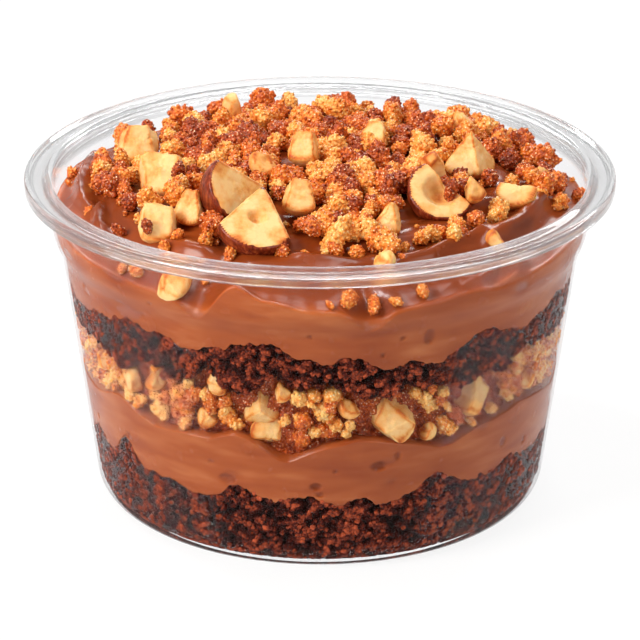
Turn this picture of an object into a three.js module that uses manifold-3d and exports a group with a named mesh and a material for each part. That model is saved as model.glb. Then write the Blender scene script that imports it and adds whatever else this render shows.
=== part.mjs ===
// A layered chocolate and hazelnut cake in a clear plastic cup with a flanged rim.
// From the bottom up: dark sponge, chocolate cream, nut crumble, dark sponge, chocolate cream
// swirled on top, and a heap of caramelised crumbs with chopped hazelnuts.
// Millimetres, +Z up. The origin is the centre of the cup's foot, and the front faces -Y.
// Angles are in degrees round the axis, from the front (-Y) and positive towards +X.
import * as THREE from "three";
import { mergeVertices } from "three/addons/utils/BufferGeometryUtils.js";
import Module from "manifold-3d";

const wasm = await Module();
wasm.setup();

// ---- Driving dimensions of the cup
const RIM_RADIUS = 58.5; // outside of the curled rim
const CUP_HEIGHT = 66.8;
const WALL = 0.7; // thickness of the plastic
const FLOOR_TOP = 1.2; // inside floor above the table
const FLOOR_RECESS = 0.5; // the middle of the floor is lifted off the table by this much
const BODY_FOOT = 44.95; // outer radius of the tapered wall, carried on down to the table
const BODY_TOP = 51.7; // outer radius of the tapered wall at the shoulder
const SHOULDER = 53; // height at which the wall steps out
const SHOULDER_RISE = 1.6;
const COLLAR_FOOT = 53.2; // outer radius of the collar above the shoulder
const COLLAR_TOP = 53.6;
const CORNER = 5; // radius of the corner between wall and floor
const RIM_DROP = 2.6; // height of the rim's turned-down lip
const CUP_SEGMENTS = 40;

// ---- Driving dimensions of the food
const GAP = 0.3; // clearance between neighbours
const FOOD_SEGMENTS = 72;
const HIDDEN_RING = 0.82; // share of the radius at which a hidden face has gone level
const CRAG = 0.7; // depth of the crags at the side of a sponge
const JAG = 0.5; // height of the jags along a sponge's edge
const CREAM_TOP = 65.6; // crown of the upper cream, under the heap
const DOME_POWER = 4; // how suddenly the cream's crown falls off towards the wall
const BACK_DROP = 1.9; // how much lower the cream lies from BACK_REACH behind the axis
const BACK_REACH = 40;
const SWIRL_DEPTH = 1.3; // height of the spatula ridges
const SWIRL_PITCH = 9; // radial distance between two ridges
const SWIRL_TURNS = 1; // how many ridges a walk once round the cup crosses
const HEAP_THICKNESS = 2.4; // of the heap's core, over the cream
const HEAP_CRUMBS = 74; // on the heap, before those that a nut takes the place of
const HEAP_CRUMB_SIZES = [5.6, 8.2];
const NUT_SIZE = 13; // diameter of a whole hazelnut kernel

const radians = THREE.MathUtils.degToRad;

// A repeatable number from 0 to 1 for item i and use k.
function draw(i, k) {
  const s = Math.sin(i * 127.1 + k * 311.7 + 17.3) * 43758.5453;
  return s - Math.floor(s);
}

// ---- The edges of the layers where they meet the wall
// Each edge has a mean height and a tilt (its rise from the front to the back), with lobes added:
// [angle in the middle of the lobe, half its width in degrees, its rise in mm].
const EDGES = {
  spongeTop: {
    height: 15.8,
    tilt: 0,
    lobes: [[-71, 4, 2.5], [-54, 4.5, 5.2], [-32, 5, -1.4], [-20.5, 3.5, 2.2], [-4, 4, 0.7], [4.5, 2.5, -1.3],
      [15, 3, -1.6], [29, 5.5, 3.6], [41, 3, -0.6], [53, 4, 1.4]],
  },
  lowerCreamTop: {
    height: 27.4,
    tilt: 0,
    lobes: [[-55, 7, 2.4], [-40, 4, -0.5], [-19, 5, 1.9], [-8, 5, -3], [9, 6, 1.6], [30, 7, -2.3],
      [54, 8, 1.2],
      [74, 5, -1.5]],
  },
  crumbleTop: {
    height: 39.4,
    tilt: 0,
    lobes: [[-52, 3.5, -2.6], [-41, 4, 1.8], [-35, 2.5, -0.8], [-26, 3, 3], [-18, 3.5, -1], [-10, 3.5, 3],
      [1, 4, 1.6], [13, 5, -1.5], [34, 5, -1.9], [46, 3, -1.5], [56, 6, 1.4]],
  },
  upperSpongeTop: {
    height: 46.7,
    tilt: 0,
    lobes: [[-70, 8, -1.8], [-46, 4, 2], [-38, 4, 1], [-16, 7, 2.4], [-9, 4, 1.5], [1, 4, -0.8],
      [15, 4.5, -2.6],
      [26, 4, -3], [38, 5, 1.9], [53, 5, -0.8], [66, 7, 1.6]],
  },
  upperCreamTop: {
    height: 59.6,
    tilt: 6,
    lobes: [[-26.5, 4, -3.4], [-17.5, 4.5, 4.4], [-9, 5, 1.8], [10.5, 4, -4], [31, 6, 0.8], [41, 4, -0.6]],
  },
};
// How far the heap's core reaches from the axis, told in the same way.
const HEAP_REACH = {
  height: 40.5,
  tilt: 7,
  lobes: [[0, 12, -3], [-62, 14, -2], [-100, 14, 2.5], [92, 14, 2]],
};
// Round the back, which the front lobes leave level, every edge gets lobes of its own.
const BACK_FROM = 88;
const BACK_STEP = 23;
const BACK_RISE = 2.2; // most that a lobe at the back rises or falls
Object.values(EDGES).forEach((edge, e) => {
  for (let at = BACK_FROM, i = 0; at < 360 - BACK_FROM; at += BACK_STEP, i++)
    edge.lobes.push([at, 5 + 4 * draw(i, 40 + e), BACK_RISE * (2 * draw(i, 50 + e) - 1)]);
});

// Degrees from one angle to another, the short way round.
function turnBetween(from, to) {
  return ((((to - from) % 360) + 540) % 360) - 180;
}

// Height of an edge at an angle; inwards of the wall (share < 1) its lobes fade.
function edgeHeight(edge, angle, share = 1) {
  const lobes = edge.lobes.reduce(
    (sum, [at, half, rise]) => sum + rise * Math.exp(-((turnBetween(at, angle) / half) ** 2)),
    0,
  );
  return edge.height - (edge.tilt / 2) * Math.cos(radians(angle)) + lobes * share ** 4;
}

// ---- The cup's walls
const slope = Math.atan2(BODY_TOP - BODY_FOOT, SHOULDER); // lean of the wall from upright
const outerLine = (z) => BODY_FOOT + Math.tan(slope) * z;
const innerLine = (z) => outerLine(z) - WALL / Math.cos(slope);
const cornerCentre = (line, floorZ, radius) => [
  line(floorZ + radius) - radius / Math.cos(slope),
  floorZ + radius,
];

// Points of an arc about a centre, from one angle to another in degrees (0 points outwards, 90 up).
function arc([r, z], radius, from, to, steps) {
  return Array.from({ length: steps + 1 }, (_, i) => {
    const a = radians(from + ((to - from) * i) / steps);
    return [r + radius * Math.cos(a), z + radius * Math.sin(a)];
  });
}

// Inside radius of the cup at a height, above the floor.
function innerRadius(z) {
  const shoulderShare = THREE.MathUtils.clamp((z - SHOULDER) / SHOULDER_RISE, 0, 1);
  if (z > SHOULDER)
    return THREE.MathUtils.lerp(BODY_TOP, COLLAR_FOOT, shoulderShare) - WALL / Math.cos(slope);
  const inner = CORNER - WALL;
  const [r, centreZ] = cornerCentre(innerLine, FLOOR_TOP, inner);
  if (z < centreZ) return Math.min(innerLine(z), r + Math.sqrt(Math.max(0, inner ** 2 - (centreZ - z) ** 2)));
  return innerLine(z);
}
const foodRadius = (z) => innerRadius(z) - GAP;

// The rim: a flat flange between a raised bead at the mouth and a curled lip outside.
function rimProfile() {
  const top = CUP_HEIGHT;
  const mouth = COLLAR_TOP - WALL;
  return [
    [COLLAR_TOP, top - 1.3],
    [RIM_RADIUS - 1.2, top - 1.1],
    [RIM_RADIUS - WALL, top - RIM_DROP + 0.2],
    [RIM_RADIUS - WALL / 2, top - RIM_DROP],
    ...arc([RIM_RADIUS - 1, top - 1], 1, 0, 90, 2),
    [RIM_RADIUS - 2, top - 0.4],
    [mouth + 2, top - 0.4],
    ...arc([mouth + 1, top - 0.9], 0.9, 90, 180, 2),
  ];
}

function cupProfile() {
  const lean = -THREE.MathUtils.radToDeg(slope);
  const outside = cornerCentre(outerLine, 0, CORNER);
  const inside = cornerCentre(innerLine, FLOOR_TOP, CORNER - WALL);
  return [
    [0, FLOOR_RECESS],
    [outside[0] - 3, FLOOR_RECESS],
    [outside[0] - 2, 0],
    ...arc(outside, CORNER, -90, lean, 3),
    [BODY_TOP, SHOULDER],
    [COLLAR_FOOT, SHOULDER + SHOULDER_RISE],
    ...rimProfile(),
    [COLLAR_FOOT - WALL, SHOULDER + SHOULDER_RISE],
    [BODY_TOP - WALL, SHOULDER],
    ...arc(inside, CORNER - WALL, lean, -90, 3),
    [0, FLOOR_TOP],
  ];
}

// ---- Turning columns into closed solids
// column(angle) gives the [r, z] points from the bottom of the axis to its top, as many at each angle.
// The quads of the underside, below row 2, split along the other diagonal, so that they lie exactly
// over the top of the layer below.
function revolve(segments, column) {
  const columns = Array.from({ length: segments }, (_, j) => column((j * 360) / segments, j));
  const rows = columns[0].length;
  const first = columns[0][0];
  const last = columns[0][rows - 1];
  const positions = [0, 0, first[1], 0, 0, last[1]];
  columns.forEach((points, j) => {
    const a = radians((j * 360) / segments);
    for (const [r, z] of points.slice(1, -1)) positions.push(r * Math.sin(a), -r * Math.cos(a), z);
  });
  const ring = rows - 2;
  const at = (j, i) => 2 + (j % segments) * ring + i;
  const faces = [];
  for (let j = 0; j < segments; j++) {
    faces.push(0, at(j + 1, 0), at(j, 0), 1, at(j, ring - 1), at(j + 1, ring - 1));
    faces.push(at(j, 0), at(j + 1, 0), at(j, 1), at(j + 1, 0), at(j + 1, 1), at(j, 1));
    for (let i = 1; i < ring - 1; i++) {
      faces.push(at(j, i), at(j + 1, i), at(j + 1, i + 1));
      faces.push(at(j, i), at(j + 1, i + 1), at(j, i + 1));
    }
  }
  return new THREE.BufferGeometry()
    .setAttribute("position", new THREE.Float32BufferAttribute(positions, 3))
    .setIndex(faces);
}

// A closed geometry as a solid that can be joined and cut, and back again.
function toSolid(geometry) {
  const bare = geometry.clone();
  bare.deleteAttribute("normal");
  bare.deleteAttribute("uv");
  const merged = mergeVertices(bare, 1e-4);
  return new wasm.Manifold(
    new wasm.Mesh({
      numProp: 3,
      vertProperties: merged.attributes.position.array,
      triVerts: new Uint32Array(merged.index.array),
    }),
  );
}

function toGeometry(solid) {
  const made = solid.getMesh();
  return new THREE.BufferGeometry()
    .setAttribute("position", new THREE.BufferAttribute(new Float32Array(made.vertProperties), 3))
    .setIndex(new THREE.BufferAttribute(new Uint32Array(made.triVerts), 1));
}

// The largest of the bodies that a cut leaves: the loose scraps are dropped.
function largest(solid) {
  return solid.decompose().reduce((best, body) => (body.volume() > best.volume() ? body : best));
}

const heapUp = (solids) => solids.reduce((sum, solid) => sum.add(solid));

// ---- The food's layers
// Jag of an edge along a sponge at one of the segments.
const jag = (j, edge) => JAG * (2 * draw(j, edge) - 1);

// The room for the food round the shoulder, which trims what would cut across the step in the wall.
function roomInCup() {
  const slack = 0.05;
  const side = [CORNER, SHOULDER, SHOULDER + SHOULDER_RISE, 2 * CUP_HEIGHT];
  const outline = [[0, CORNER], ...side.map((z) => [foodRadius(z) + slack, z]), [0, 2 * CUP_HEIGHT]];
  return toSolid(revolve(FOOD_SEGMENTS, () => outline));
}

// A layer between two edges. rows(low, high, j) gives the [r, z] points up its side.
function layer(below, above, rows, belowJag, aboveJag) {
  const low = (angle, share) => edgeHeight(below, angle, share) + GAP / 2;
  const high = (angle, share) => edgeHeight(above, angle, share) - GAP / 2;
  return revolve(FOOD_SEGMENTS, (angle, j) => {
    const zLow = low(angle, 1) + (belowJag ? jag(j, belowJag) : 0);
    const zHigh = high(angle, 1) + (aboveJag ? jag(j, aboveJag) : 0);
    return [
      [0, low(0, 0)],
      [foodRadius(zLow) * HIDDEN_RING, low(angle, HIDDEN_RING)],
      ...rows(zLow, zHigh, j),
      [foodRadius(zHigh) * HIDDEN_RING, high(angle, HIDDEN_RING)],
      [0, high(0, 0)],
    ];
  });
}

// A smooth side, pressed flat against the wall.
const smoothSide = (low, high) => [[foodRadius(low), low], [foodRadius(high), high]];

// A crumbly side: its rows lie at uneven depths, and only the two edges touch the wall.
function craggySide(low, high, j) {
  const middle = [0.3, 0.65].map((share, k) => {
    const z = THREE.MathUtils.lerp(low, high, share + 0.15 * (draw(j, 3 + k) - 0.5));
    return [foodRadius(z) - CRAG * draw(j, 5 + k), z];
  });
  return [[foodRadius(low) - CRAG * 0.3 * draw(j, 7), low], ...middle, [foodRadius(high), high]];
}

const LOWER_JAG = 11;
const UPPER_JAG = 12;
const FILLING_JAG = 13;

// The bottom sponge stands on the cup's floor, and rounds its corner.
function lowerSponge() {
  const floorZ = FLOOR_TOP + GAP;
  const high = (angle, share) => edgeHeight(EDGES.spongeTop, angle, share) - GAP / 2;
  return revolve(FOOD_SEGMENTS, (angle, j) => {
    const zHigh = high(angle, 1) + jag(j, LOWER_JAG);
    return [
      [0, floorZ],
      [foodRadius(floorZ) - 0.5, floorZ],
      ...craggySide(CORNER, zHigh, j),
      [foodRadius(zHigh) * HIDDEN_RING, high(angle, HIDDEN_RING)],
      [0, high(0, 0)],
    ];
  });
}

// Height of the upper cream's top: a crown that a spatula left in a spiral of soft ridges.
function creamHeight(r, angle) {
  const share = Math.min(1, r / foodRadius(SHOULDER + SHOULDER_RISE));
  const edge = edgeHeight(EDGES.upperCreamTop, angle, share);
  const crown = edge + (CREAM_TOP - edge) * (1 - share ** DOME_POWER);
  const phase = r / SWIRL_PITCH - (SWIRL_TURNS * angle) / 360;
  const along = phase - Math.floor(phase);
  const ridge = Math.sin(Math.PI * along ** 1.8) - 0.5; // slow rise and sudden fall
  const band = Math.sin(Math.PI * THREE.MathUtils.clamp((share - 0.4) / 0.6, 0, 1)) ** 0.7;
  const back = THREE.MathUtils.clamp((-r * Math.cos(radians(angle))) / BACK_REACH, 0, 1);
  return crown + SWIRL_DEPTH * band * ridge - BACK_DROP * back;
}

const CREAM_RINGS = [0.985, 0.95, 0.9, 0.84, 0.76, 0.64];

function upperCream() {
  const low = (angle, share) => edgeHeight(EDGES.upperSpongeTop, angle, share) + GAP / 2;
  return revolve(FOOD_SEGMENTS, (angle, j) => {
    const zLow = low(angle, 1) + jag(j, UPPER_JAG);
    const rim = foodRadius(CUP_HEIGHT);
    const zHigh = creamHeight(rim, angle);
    const bend = [Math.min(SHOULDER, zHigh - 0.6), Math.min(SHOULDER + SHOULDER_RISE, zHigh - 0.3)];
    const steps = [zLow, ...bend, zHigh];
    return [
      [0, low(0, 0)],
      [foodRadius(zLow) * HIDDEN_RING, low(angle, HIDDEN_RING)],
      ...steps.map((z) => [foodRadius(z), z]),
      ...CREAM_RINGS.map((share) => {
        const r = share * foodRadius(zHigh);
        return [r, creamHeight(r, angle)];
      }),
      [0, creamHeight(0, 0)],
    ];
  });
}

// ---- Crumbs and nuts
// An uneven lump about the origin: a block with its corners moved in and out, tumbled.
function crumb(i, size) {
  const block = new THREE.BoxGeometry(0.86 * size, 0.78 * size, 0.7 * size);
  block.deleteAttribute("normal");
  block.deleteAttribute("uv");
  const lump = mergeVertices(block, 1e-3);
  const corners = lump.attributes.position;
  for (let v = 0; v < corners.count; v++) {
    const grow = 0.75 + 0.4 * draw(i * 13 + v, 21);
    corners.setXYZ(v, corners.getX(v) * grow, corners.getY(v) * grow, corners.getZ(v) * grow);
  }
  return lump.rotateX(2 * Math.PI * draw(i, 23)).rotateZ(2 * Math.PI * draw(i, 22));
}

const placed = (geometry, x, y, z) => toSolid(geometry.translate(x, y, z));

// A hazelnut kernel, a little taller than wide, pointed at its tip.
function kernel(diameter) {
  const rows = 5;
  const profile = Array.from({ length: rows + 1 }, (_, i) => {
    const a = Math.PI * (i / rows - 0.5);
    const radius = diameter / 2;
    return new THREE.Vector2(i % rows ? radius * Math.cos(a) : 0, radius * 1.06 * Math.sin(a));
  });
  return new THREE.LatheGeometry(profile, 10);
}

// A chopped nut: the kernel with what lies beyond each cut taken off. A cut is [turn, rise, distance]:
// the direction it faces, in degrees, and how far from the kernel's centre it passes, as a share of
// the radius. grow makes the piece larger all round.
function choppedNut({ size = NUT_SIZE, cuts, hollow }, grow) {
  const radius = size / 2;
  let nut = toSolid(kernel(size + 2 * grow));
  for (const [turn, rise, distance] of cuts) {
    const block = new THREE.BoxGeometry(4 * radius, 4 * radius, 4 * radius);
    block.translate(0, 0, 2 * radius + distance * radius + grow);
    block.rotateX(radians(90 - rise)).rotateZ(radians(turn));
    nut = nut.subtract(toSolid(block));
  }
  if (hollow && !grow) {
    const pit = new THREE.IcosahedronGeometry(hollow, 0).scale(1.5, 1, 1).rotateZ(radians(cuts[0][0]));
    const facing = new THREE.Vector3(0, 0, 1)
      .applyAxisAngle(new THREE.Vector3(1, 0, 0), radians(90 - cuts[0][1]))
      .applyAxisAngle(new THREE.Vector3(0, 0, 1), radians(cuts[0][0]));
    pit.translate(...facing.multiplyScalar(radius * cuts[0][2] + hollow * 0.35).toArray());
    nut = nut.subtract(toSolid(pit));
  }
  return nut;
}

// The nuts on the heap: the place of each kernel's centre, its size and its cuts.
// A cut's turn of 0 faces the front, and 90 faces +X.
const TOP_NUTS = [
  { name: "hazelnut_half", at: [-16.1, -20.8, 69.4], size: 14.2, cuts: [[50, 35, 0.15], [122, 54, 0.5]] },
  {
    name: "hazelnut_wedge",
    at: [-11.9, -33.8, 68.9],
    size: 15.6,
    cuts: [[20, 60, 0.05], [-111, 44, 0.5], [100, 24, 0.5]],
    hollow: 1.3,
  },
  {
    name: "hazelnut_ring",
    at: [23.2, -19.3, 68.8],
    size: 13,
    cuts: [[15, 50, 0.1], [125, 30, 0.35]],
    hollow: 2.6,
  },
  {
    name: "nut_chunk_01",
    at: [-30.9, -26.8, 65.8],
    size: 9.6,
    cuts: [[5, 42, 0.3], [82, 8, 0.62], [-78, 12, 0.62], [170, 40, 0.55]],
  },
  {
    name: "nut_chunk_02",
    at: [-24.5, -23, 67.6],
    size: 8.6,
    cuts: [[-25, 32, 0.25], [68, 18, 0.42], [-115, 20, 0.6], [165, 35, 0.5]],
  },
  {
    name: "nut_chunk_03",
    at: [-36.9, 12.3, 68],
    size: 10,
    cuts: [[10, 35, 0.3], [75, 25, 0.62], [-80, 25, 0.55], [180, 45, 0.55]],
  },
  {
    name: "nut_chunk_04",
    at: [-31.2, -7.2, 68.6],
    size: 11.5,
    cuts: [[-12, 50, 0.28], [70, 8, 0.66], [-75, 5, 0.6], [165, 25, 0.5]],
  },
  {
    name: "nut_chunk_05",
    at: [29.9, 1.3, 70],
    size: 12.6,
    cuts: [[-35, 28, 0.3], [65, 28, 0.3], [155, 28, 0.35], [-125, 28, 0.35]],
  },
  {
    name: "nut_chunk_06",
    at: [-3.2, 1.3, 71],
    size: 8.4,
    cuts: [[-12, 45, 0.35], [80, 12, 0.55], [-90, 15, 0.6], [180, 35, 0.55]],
  },
  {
    name: "nut_chunk_07",
    at: [-4, -23.5, 70],
    size: 8.6,
    cuts: [[15, 42, 0.3], [95, 12, 0.6], [-85, 22, 0.5], [180, 40, 0.6]],
  },
  {
    name: "nut_chunk_08",
    at: [13.2, -30.1, 67.4],
    size: 6.6,
    cuts: [[-22, 22, 0.15], [75, 15, 0.4], [-95, 35, 0.5]],
  },
  { name: "nut_chunk_09", at: [38.3, -12, 66.2], size: 8, cuts: [[-20, 60, 0.15], [160, 10, 0.3]] },
];

// The nuts that press against the wall in the nut crumble: [angle, height] of each centre.
const WALL_NUTS = [
  {
    name: "filling_nut_01",
    at: [-14.3, 35.4],
    size: 9,
    cuts: [[-50, 22, 0.3], [60, 28, 0.4], [0, -35, 0.6]],
  },
  {
    name: "filling_nut_02",
    at: [-11.6, 29.2],
    size: 8.5,
    cuts: [[5, 10, 0.42], [0, -60, 0.4], [80, -10, 0.45]],
  },
  {
    name: "filling_nut_03",
    at: [16.7, 32.6],
    size: 12,
    cuts: [[-12, 12, 0.42], [-85, 30, 0.5], [50, 45, 0.5], [110, -15, 0.6], [-70, -45, 0.55]],
  },
  {
    name: "filling_nut_04",
    at: [40, 34.2],
    size: 10.5,
    cuts: [[10, 15, 0.45], [-70, 30, 0.5], [80, 35, 0.5], [60, -35, 0.6]],
  },
];
const WALL_NUT_DEPTH = 3.2; // from the wall to the middle of such a nut

// The nut crumble: its side is pressed against the wall in lumps, with the larger ones fused on.
const CRUMBLE_CRAG = 1.5; // how far its hollows lie back from the wall
const CRUMBLE_LUMPS = 16;
const CRUMBLE_LUMP_SIZES = [4.4, 5.8];

function lumpySide(low, high, j) {
  return [0, 0.25, 0.5, 0.75, 1].map((share, k) => {
    const z = THREE.MathUtils.lerp(low, high, share);
    const depth = (k % 4 ? CRUMBLE_CRAG : 0.4) * draw(j, 70 + k);
    return [foodRadius(z) - depth, z];
  });
}

function nutCrumble(nuts) {
  const lumps = [];
  for (let i = 0; i < CRUMBLE_LUMPS; i++) {
    const angle = ((i + 0.5 * draw(i, 31)) * 360) / CRUMBLE_LUMPS;
    const size = THREE.MathUtils.lerp(...CRUMBLE_LUMP_SIZES, draw(i, 32));
    const low = edgeHeight(EDGES.lowerCreamTop, angle) + 0.75 * size;
    const high = edgeHeight(EDGES.crumbleTop, angle) - 0.75 * size;
    const z = high > low ? THREE.MathUtils.lerp(low, high, draw(i, 33)) : (low + high) / 2;
    const r = foodRadius(z) - 0.74 * size;
    lumps.push(placed(crumb(i + 500, size), r * Math.sin(radians(angle)), -r * Math.cos(radians(angle)), z));
  }
  const side = toSolid(layer(EDGES.lowerCreamTop, EDGES.crumbleTop, lumpySide, 0, FILLING_JAG));
  return largest(nuts.reduce((rest, nut) => rest.subtract(nut.grown), heapUp([side, ...lumps])));
}

// A nut at the wall, kept inside the crumble's envelope and clear of the wall.
function wallNut(spec) {
  const [angle, z] = spec.at;
  const r = foodRadius(z) - WALL_NUT_DEPTH;
  const place = (grow) =>
    choppedNut(spec, grow)
      .rotate([0, 0, angle])
      .translate([r * Math.sin(radians(angle)), -r * Math.cos(radians(angle)), z]);
  const envelope = toSolid(layer(EDGES.lowerCreamTop, EDGES.crumbleTop, smoothSide, 0, 0));
  return { name: spec.name, solid: place(0).intersect(envelope), grown: place(GAP) };
}

// A nut on the heap, cut off underneath where it rests on the cream.
function topNut(spec, cream) {
  const place = (grow) => choppedNut(spec, grow).translate(spec.at);
  return { name: spec.name, solid: place(0).subtract(cream), grown: place(GAP) };
}

// Where two nuts meet, the later one is cut back.
function clearOfEachOther(nuts) {
  return nuts.map((nut, i) => ({
    ...nut,
    solid: largest(nuts.slice(0, i).reduce((rest, earlier) => rest.subtract(earlier.grown), nut.solid)),
  }));
}

// The heap: a thin core that follows the cream, with its crumbs fused on in a sunflower spiral.
const above = (x, y) => creamHeight(Math.hypot(x, y), THREE.MathUtils.radToDeg(Math.atan2(x, -y)));
const heapReach = (angle) => edgeHeight(HEAP_REACH, angle);
const heapTop = (r, angle) =>
  creamHeight(r, angle) + HEAP_THICKNESS * (1 - 0.4 * (r / heapReach(angle)) ** 2);
const CORE_SEGMENTS = 26;
const GOLDEN_ANGLE = 137.508;

function heapCore() {
  return revolve(CORE_SEGMENTS, (angle) => {
    const reach = heapReach(angle);
    return [
      [0, CREAM_TOP - 2],
      ...[0.6, 1].map((share) => [reach * share, creamHeight(reach * share, angle) - 1.5]),
      ...[1, 0.85, 0.5].map((share) => [reach * share * 0.98, heapTop(reach * share, angle)]),
      [0, heapTop(0, 0)],
    ];
  });
}

function crumbleHeap(nuts, cream) {
  const lumps = [];
  for (let i = 0; i < HEAP_CRUMBS; i++) {
    const angle = (i * GOLDEN_ANGLE) % 360;
    const size = THREE.MathUtils.lerp(...HEAP_CRUMB_SIZES, draw(i, 62));
    const r = (heapReach(angle) + 2) * Math.sqrt((i + 0.5) / HEAP_CRUMBS) + 2 * (draw(i, 61) - 0.5);
    const z = heapTop(r, angle) - 0.2 + 1.4 * draw(i, 63);
    const centre = new THREE.Vector3(r * Math.sin(radians(angle)), -r * Math.cos(radians(angle)), z);
    const crosses = (nut) => centre.distanceTo(new THREE.Vector3(...nut.at)) < (size + nut.size) / 2;
    if (!TOP_NUTS.some(crosses)) lumps.push(placed(crumb(i, size), ...centre.toArray()));
  }
  const joined = heapUp([toSolid(heapCore()), ...lumps]).intersect(roomInCup()).subtract(cream);
  return largest(nuts.reduce((rest, nut) => rest.subtract(nut.grown), joined));
}

// Crumbs that lie on the bare cream round the heap: [x, y, size]. They are fused to the cream.
const STRAY_CRUMBS = [
  [-38.4, -23.5, 3.5], [-29.4, -34, 3.6], [-21.8, -36, 3.8], [-16.9, -39.5, 3.4], [-7.3, -40.5, 3.4],
  [3, -39.5, 4.1],
  [8.2, -41, 4], [12, -43.5, 4.4], [27.1, -34.5, 4.2], [34, -30.5, 4.2], [-33, -36, 3.4], [-26.8, -40.2, 4.6],
  [5.2, -47.4, 4], [9.6, -46.8, 3.8], [18.6, -45.6, 3.3],
];

function creamWithStrays() {
  const strays = STRAY_CRUMBS.map(([x, y, size], i) =>
    placed(crumb(i + 900, size), x, y, above(x, y) + size * 0.15),
  );
  return largest(heapUp([toSolid(upperCream()), ...strays]).intersect(roomInCup()));
}

// ---- Materials, with the colours of the real things
const material = (color, roughness) => new THREE.MeshStandardMaterial({ color, roughness, metalness: 0 });
const MATERIALS = {
  plastic: new THREE.MeshStandardMaterial({
    color: 0xeef2f4,
    roughness: 0.05,
    transparent: true,
    opacity: 0.3,
  }),
  sponge: material(0x3a1a10, 0.8),
  cream: material(0xa8663f, 0.4),
  crumble: material(0xb8681f, 0.45),
  nut: material(0xe4bd80, 0.5),
};

function part(name, geometry, look) {
  const mesh = new THREE.Mesh(geometry, MATERIALS[look]);
  mesh.name = name;
  return mesh;
}

// ---- The object
const cupPoints = cupProfile().map(([r, z]) => new THREE.Vector2(r, z));
const cream = creamWithStrays();
const liftedCream = cream.add(cream.translate([0, 0, GAP]));
const topNuts = clearOfEachOther(TOP_NUTS.map((spec) => topNut(spec, liftedCream)));
const wallNuts = clearOfEachOther(WALL_NUTS.map(wallNut));
const cakeInCup = new THREE.Group();
cakeInCup.add(
  part("cup", new THREE.LatheGeometry(cupPoints, CUP_SEGMENTS).rotateX(Math.PI / 2), "plastic"),
  part("lower_sponge", lowerSponge(), "sponge"),
  part("lower_cream", layer(EDGES.spongeTop, EDGES.lowerCreamTop, smoothSide, LOWER_JAG, 0), "cream"),
  part("nut_crumble", toGeometry(nutCrumble(wallNuts)), "crumble"),
  part(
    "upper_sponge",
    layer(EDGES.crumbleTop, EDGES.upperSpongeTop, craggySide, FILLING_JAG, UPPER_JAG),
    "sponge",
  ),
  part("upper_cream", toGeometry(cream), "cream"),
  part("crumble_heap", toGeometry(crumbleHeap(topNuts, liftedCream)), "crumble"),
  ...[...topNuts, ...wallNuts].map((nut) => part(nut.name, toGeometry(nut.solid), "nut")),
);

export default cakeInCup;
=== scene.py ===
"""A layered chocolate and hazelnut cake in a clear plastic cup, with crumbs and chopped nuts heaped on top.

Shapes are worked out in millimetres and written to the meshes in metres. Angles are in degrees round the
cup's axis, from the front (-Y) and positive towards +X.
"""
import math

import bmesh
import bpy
import numpy as np
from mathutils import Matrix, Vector, noise


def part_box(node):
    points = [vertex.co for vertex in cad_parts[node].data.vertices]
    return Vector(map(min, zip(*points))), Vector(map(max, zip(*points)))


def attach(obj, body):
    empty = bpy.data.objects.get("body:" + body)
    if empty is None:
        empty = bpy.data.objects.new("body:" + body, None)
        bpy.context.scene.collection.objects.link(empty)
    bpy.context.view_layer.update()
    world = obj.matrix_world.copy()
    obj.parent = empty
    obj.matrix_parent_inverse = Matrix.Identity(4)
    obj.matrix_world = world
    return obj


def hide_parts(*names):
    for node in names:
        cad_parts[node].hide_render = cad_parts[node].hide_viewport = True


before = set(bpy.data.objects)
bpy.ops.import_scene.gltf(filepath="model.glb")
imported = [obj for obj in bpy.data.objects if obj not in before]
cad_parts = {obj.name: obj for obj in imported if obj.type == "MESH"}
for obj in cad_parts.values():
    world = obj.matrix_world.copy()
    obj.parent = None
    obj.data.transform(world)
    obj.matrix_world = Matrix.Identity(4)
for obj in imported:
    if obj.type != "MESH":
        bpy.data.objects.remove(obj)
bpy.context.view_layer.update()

MM = 0.001
BODY = "root"


# ---------------------------------------------------------------------------------------------
# Node trees

class Wire:
    """A node's output, on which sums, products and powers add Math nodes."""

    def __init__(self, graph, socket):
        self.graph = graph
        self.socket = socket

    def math(self, operation, *others):
        sockets = dict(enumerate((self, *others)))
        return self.graph.node("ShaderNodeMath", {"operation": operation}, sockets)

    def __add__(self, other):
        return self.math("ADD", other)

    def __mul__(self, other):
        return self.math("MULTIPLY", other)

    def __sub__(self, other):
        return self.math("SUBTRACT", other)

    def __rsub__(self, other):
        return self.graph.node("ShaderNodeMath", {"operation": "SUBTRACT"}, {0: other, 1: self})

    def __pow__(self, power):
        return self.math("POWER", power)

    __radd__ = __add__
    __rmul__ = __mul__

    def clamped(self, low=0.0, high=1.0):
        """0 up to low, 1 from high on, and straight between them."""
        names = {"Value": self, "From Min": low, "From Max": high, "To Min": 0.0, "To Max": 1.0}
        return self.graph.node("ShaderNodeMapRange", {"clamp": True}, names)


class Graph:
    """Adds nodes to a shader tree or a geometry tree."""

    def __init__(self, tree):
        self.tree = tree

    def node(self, kind, settings=None, sockets=None, out=0):
        """A node of that type. Its settings come first, then the values or links of its sockets."""
        made = self.tree.nodes.new(kind)
        for name, value in (settings or {}).items():
            if name == "stops":
                self.set_stops(made.color_ramp, value)
            else:
                setattr(made, name, value)
        for name, value in (sockets or {}).items():
            if isinstance(value, Wire):
                self.tree.links.new(value.socket, made.inputs[name])
            else:
                made.inputs[name].default_value = value
        return Wire(self, made.outputs[out])

    @staticmethod
    def set_stops(ramp, stops):
        while len(ramp.elements) < len(stops):
            ramp.elements.new(0.5)
        for element, (at, colour) in zip(ramp.elements, stops):
            element.position = at
            element.color = (*colour, 1.0)


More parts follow.
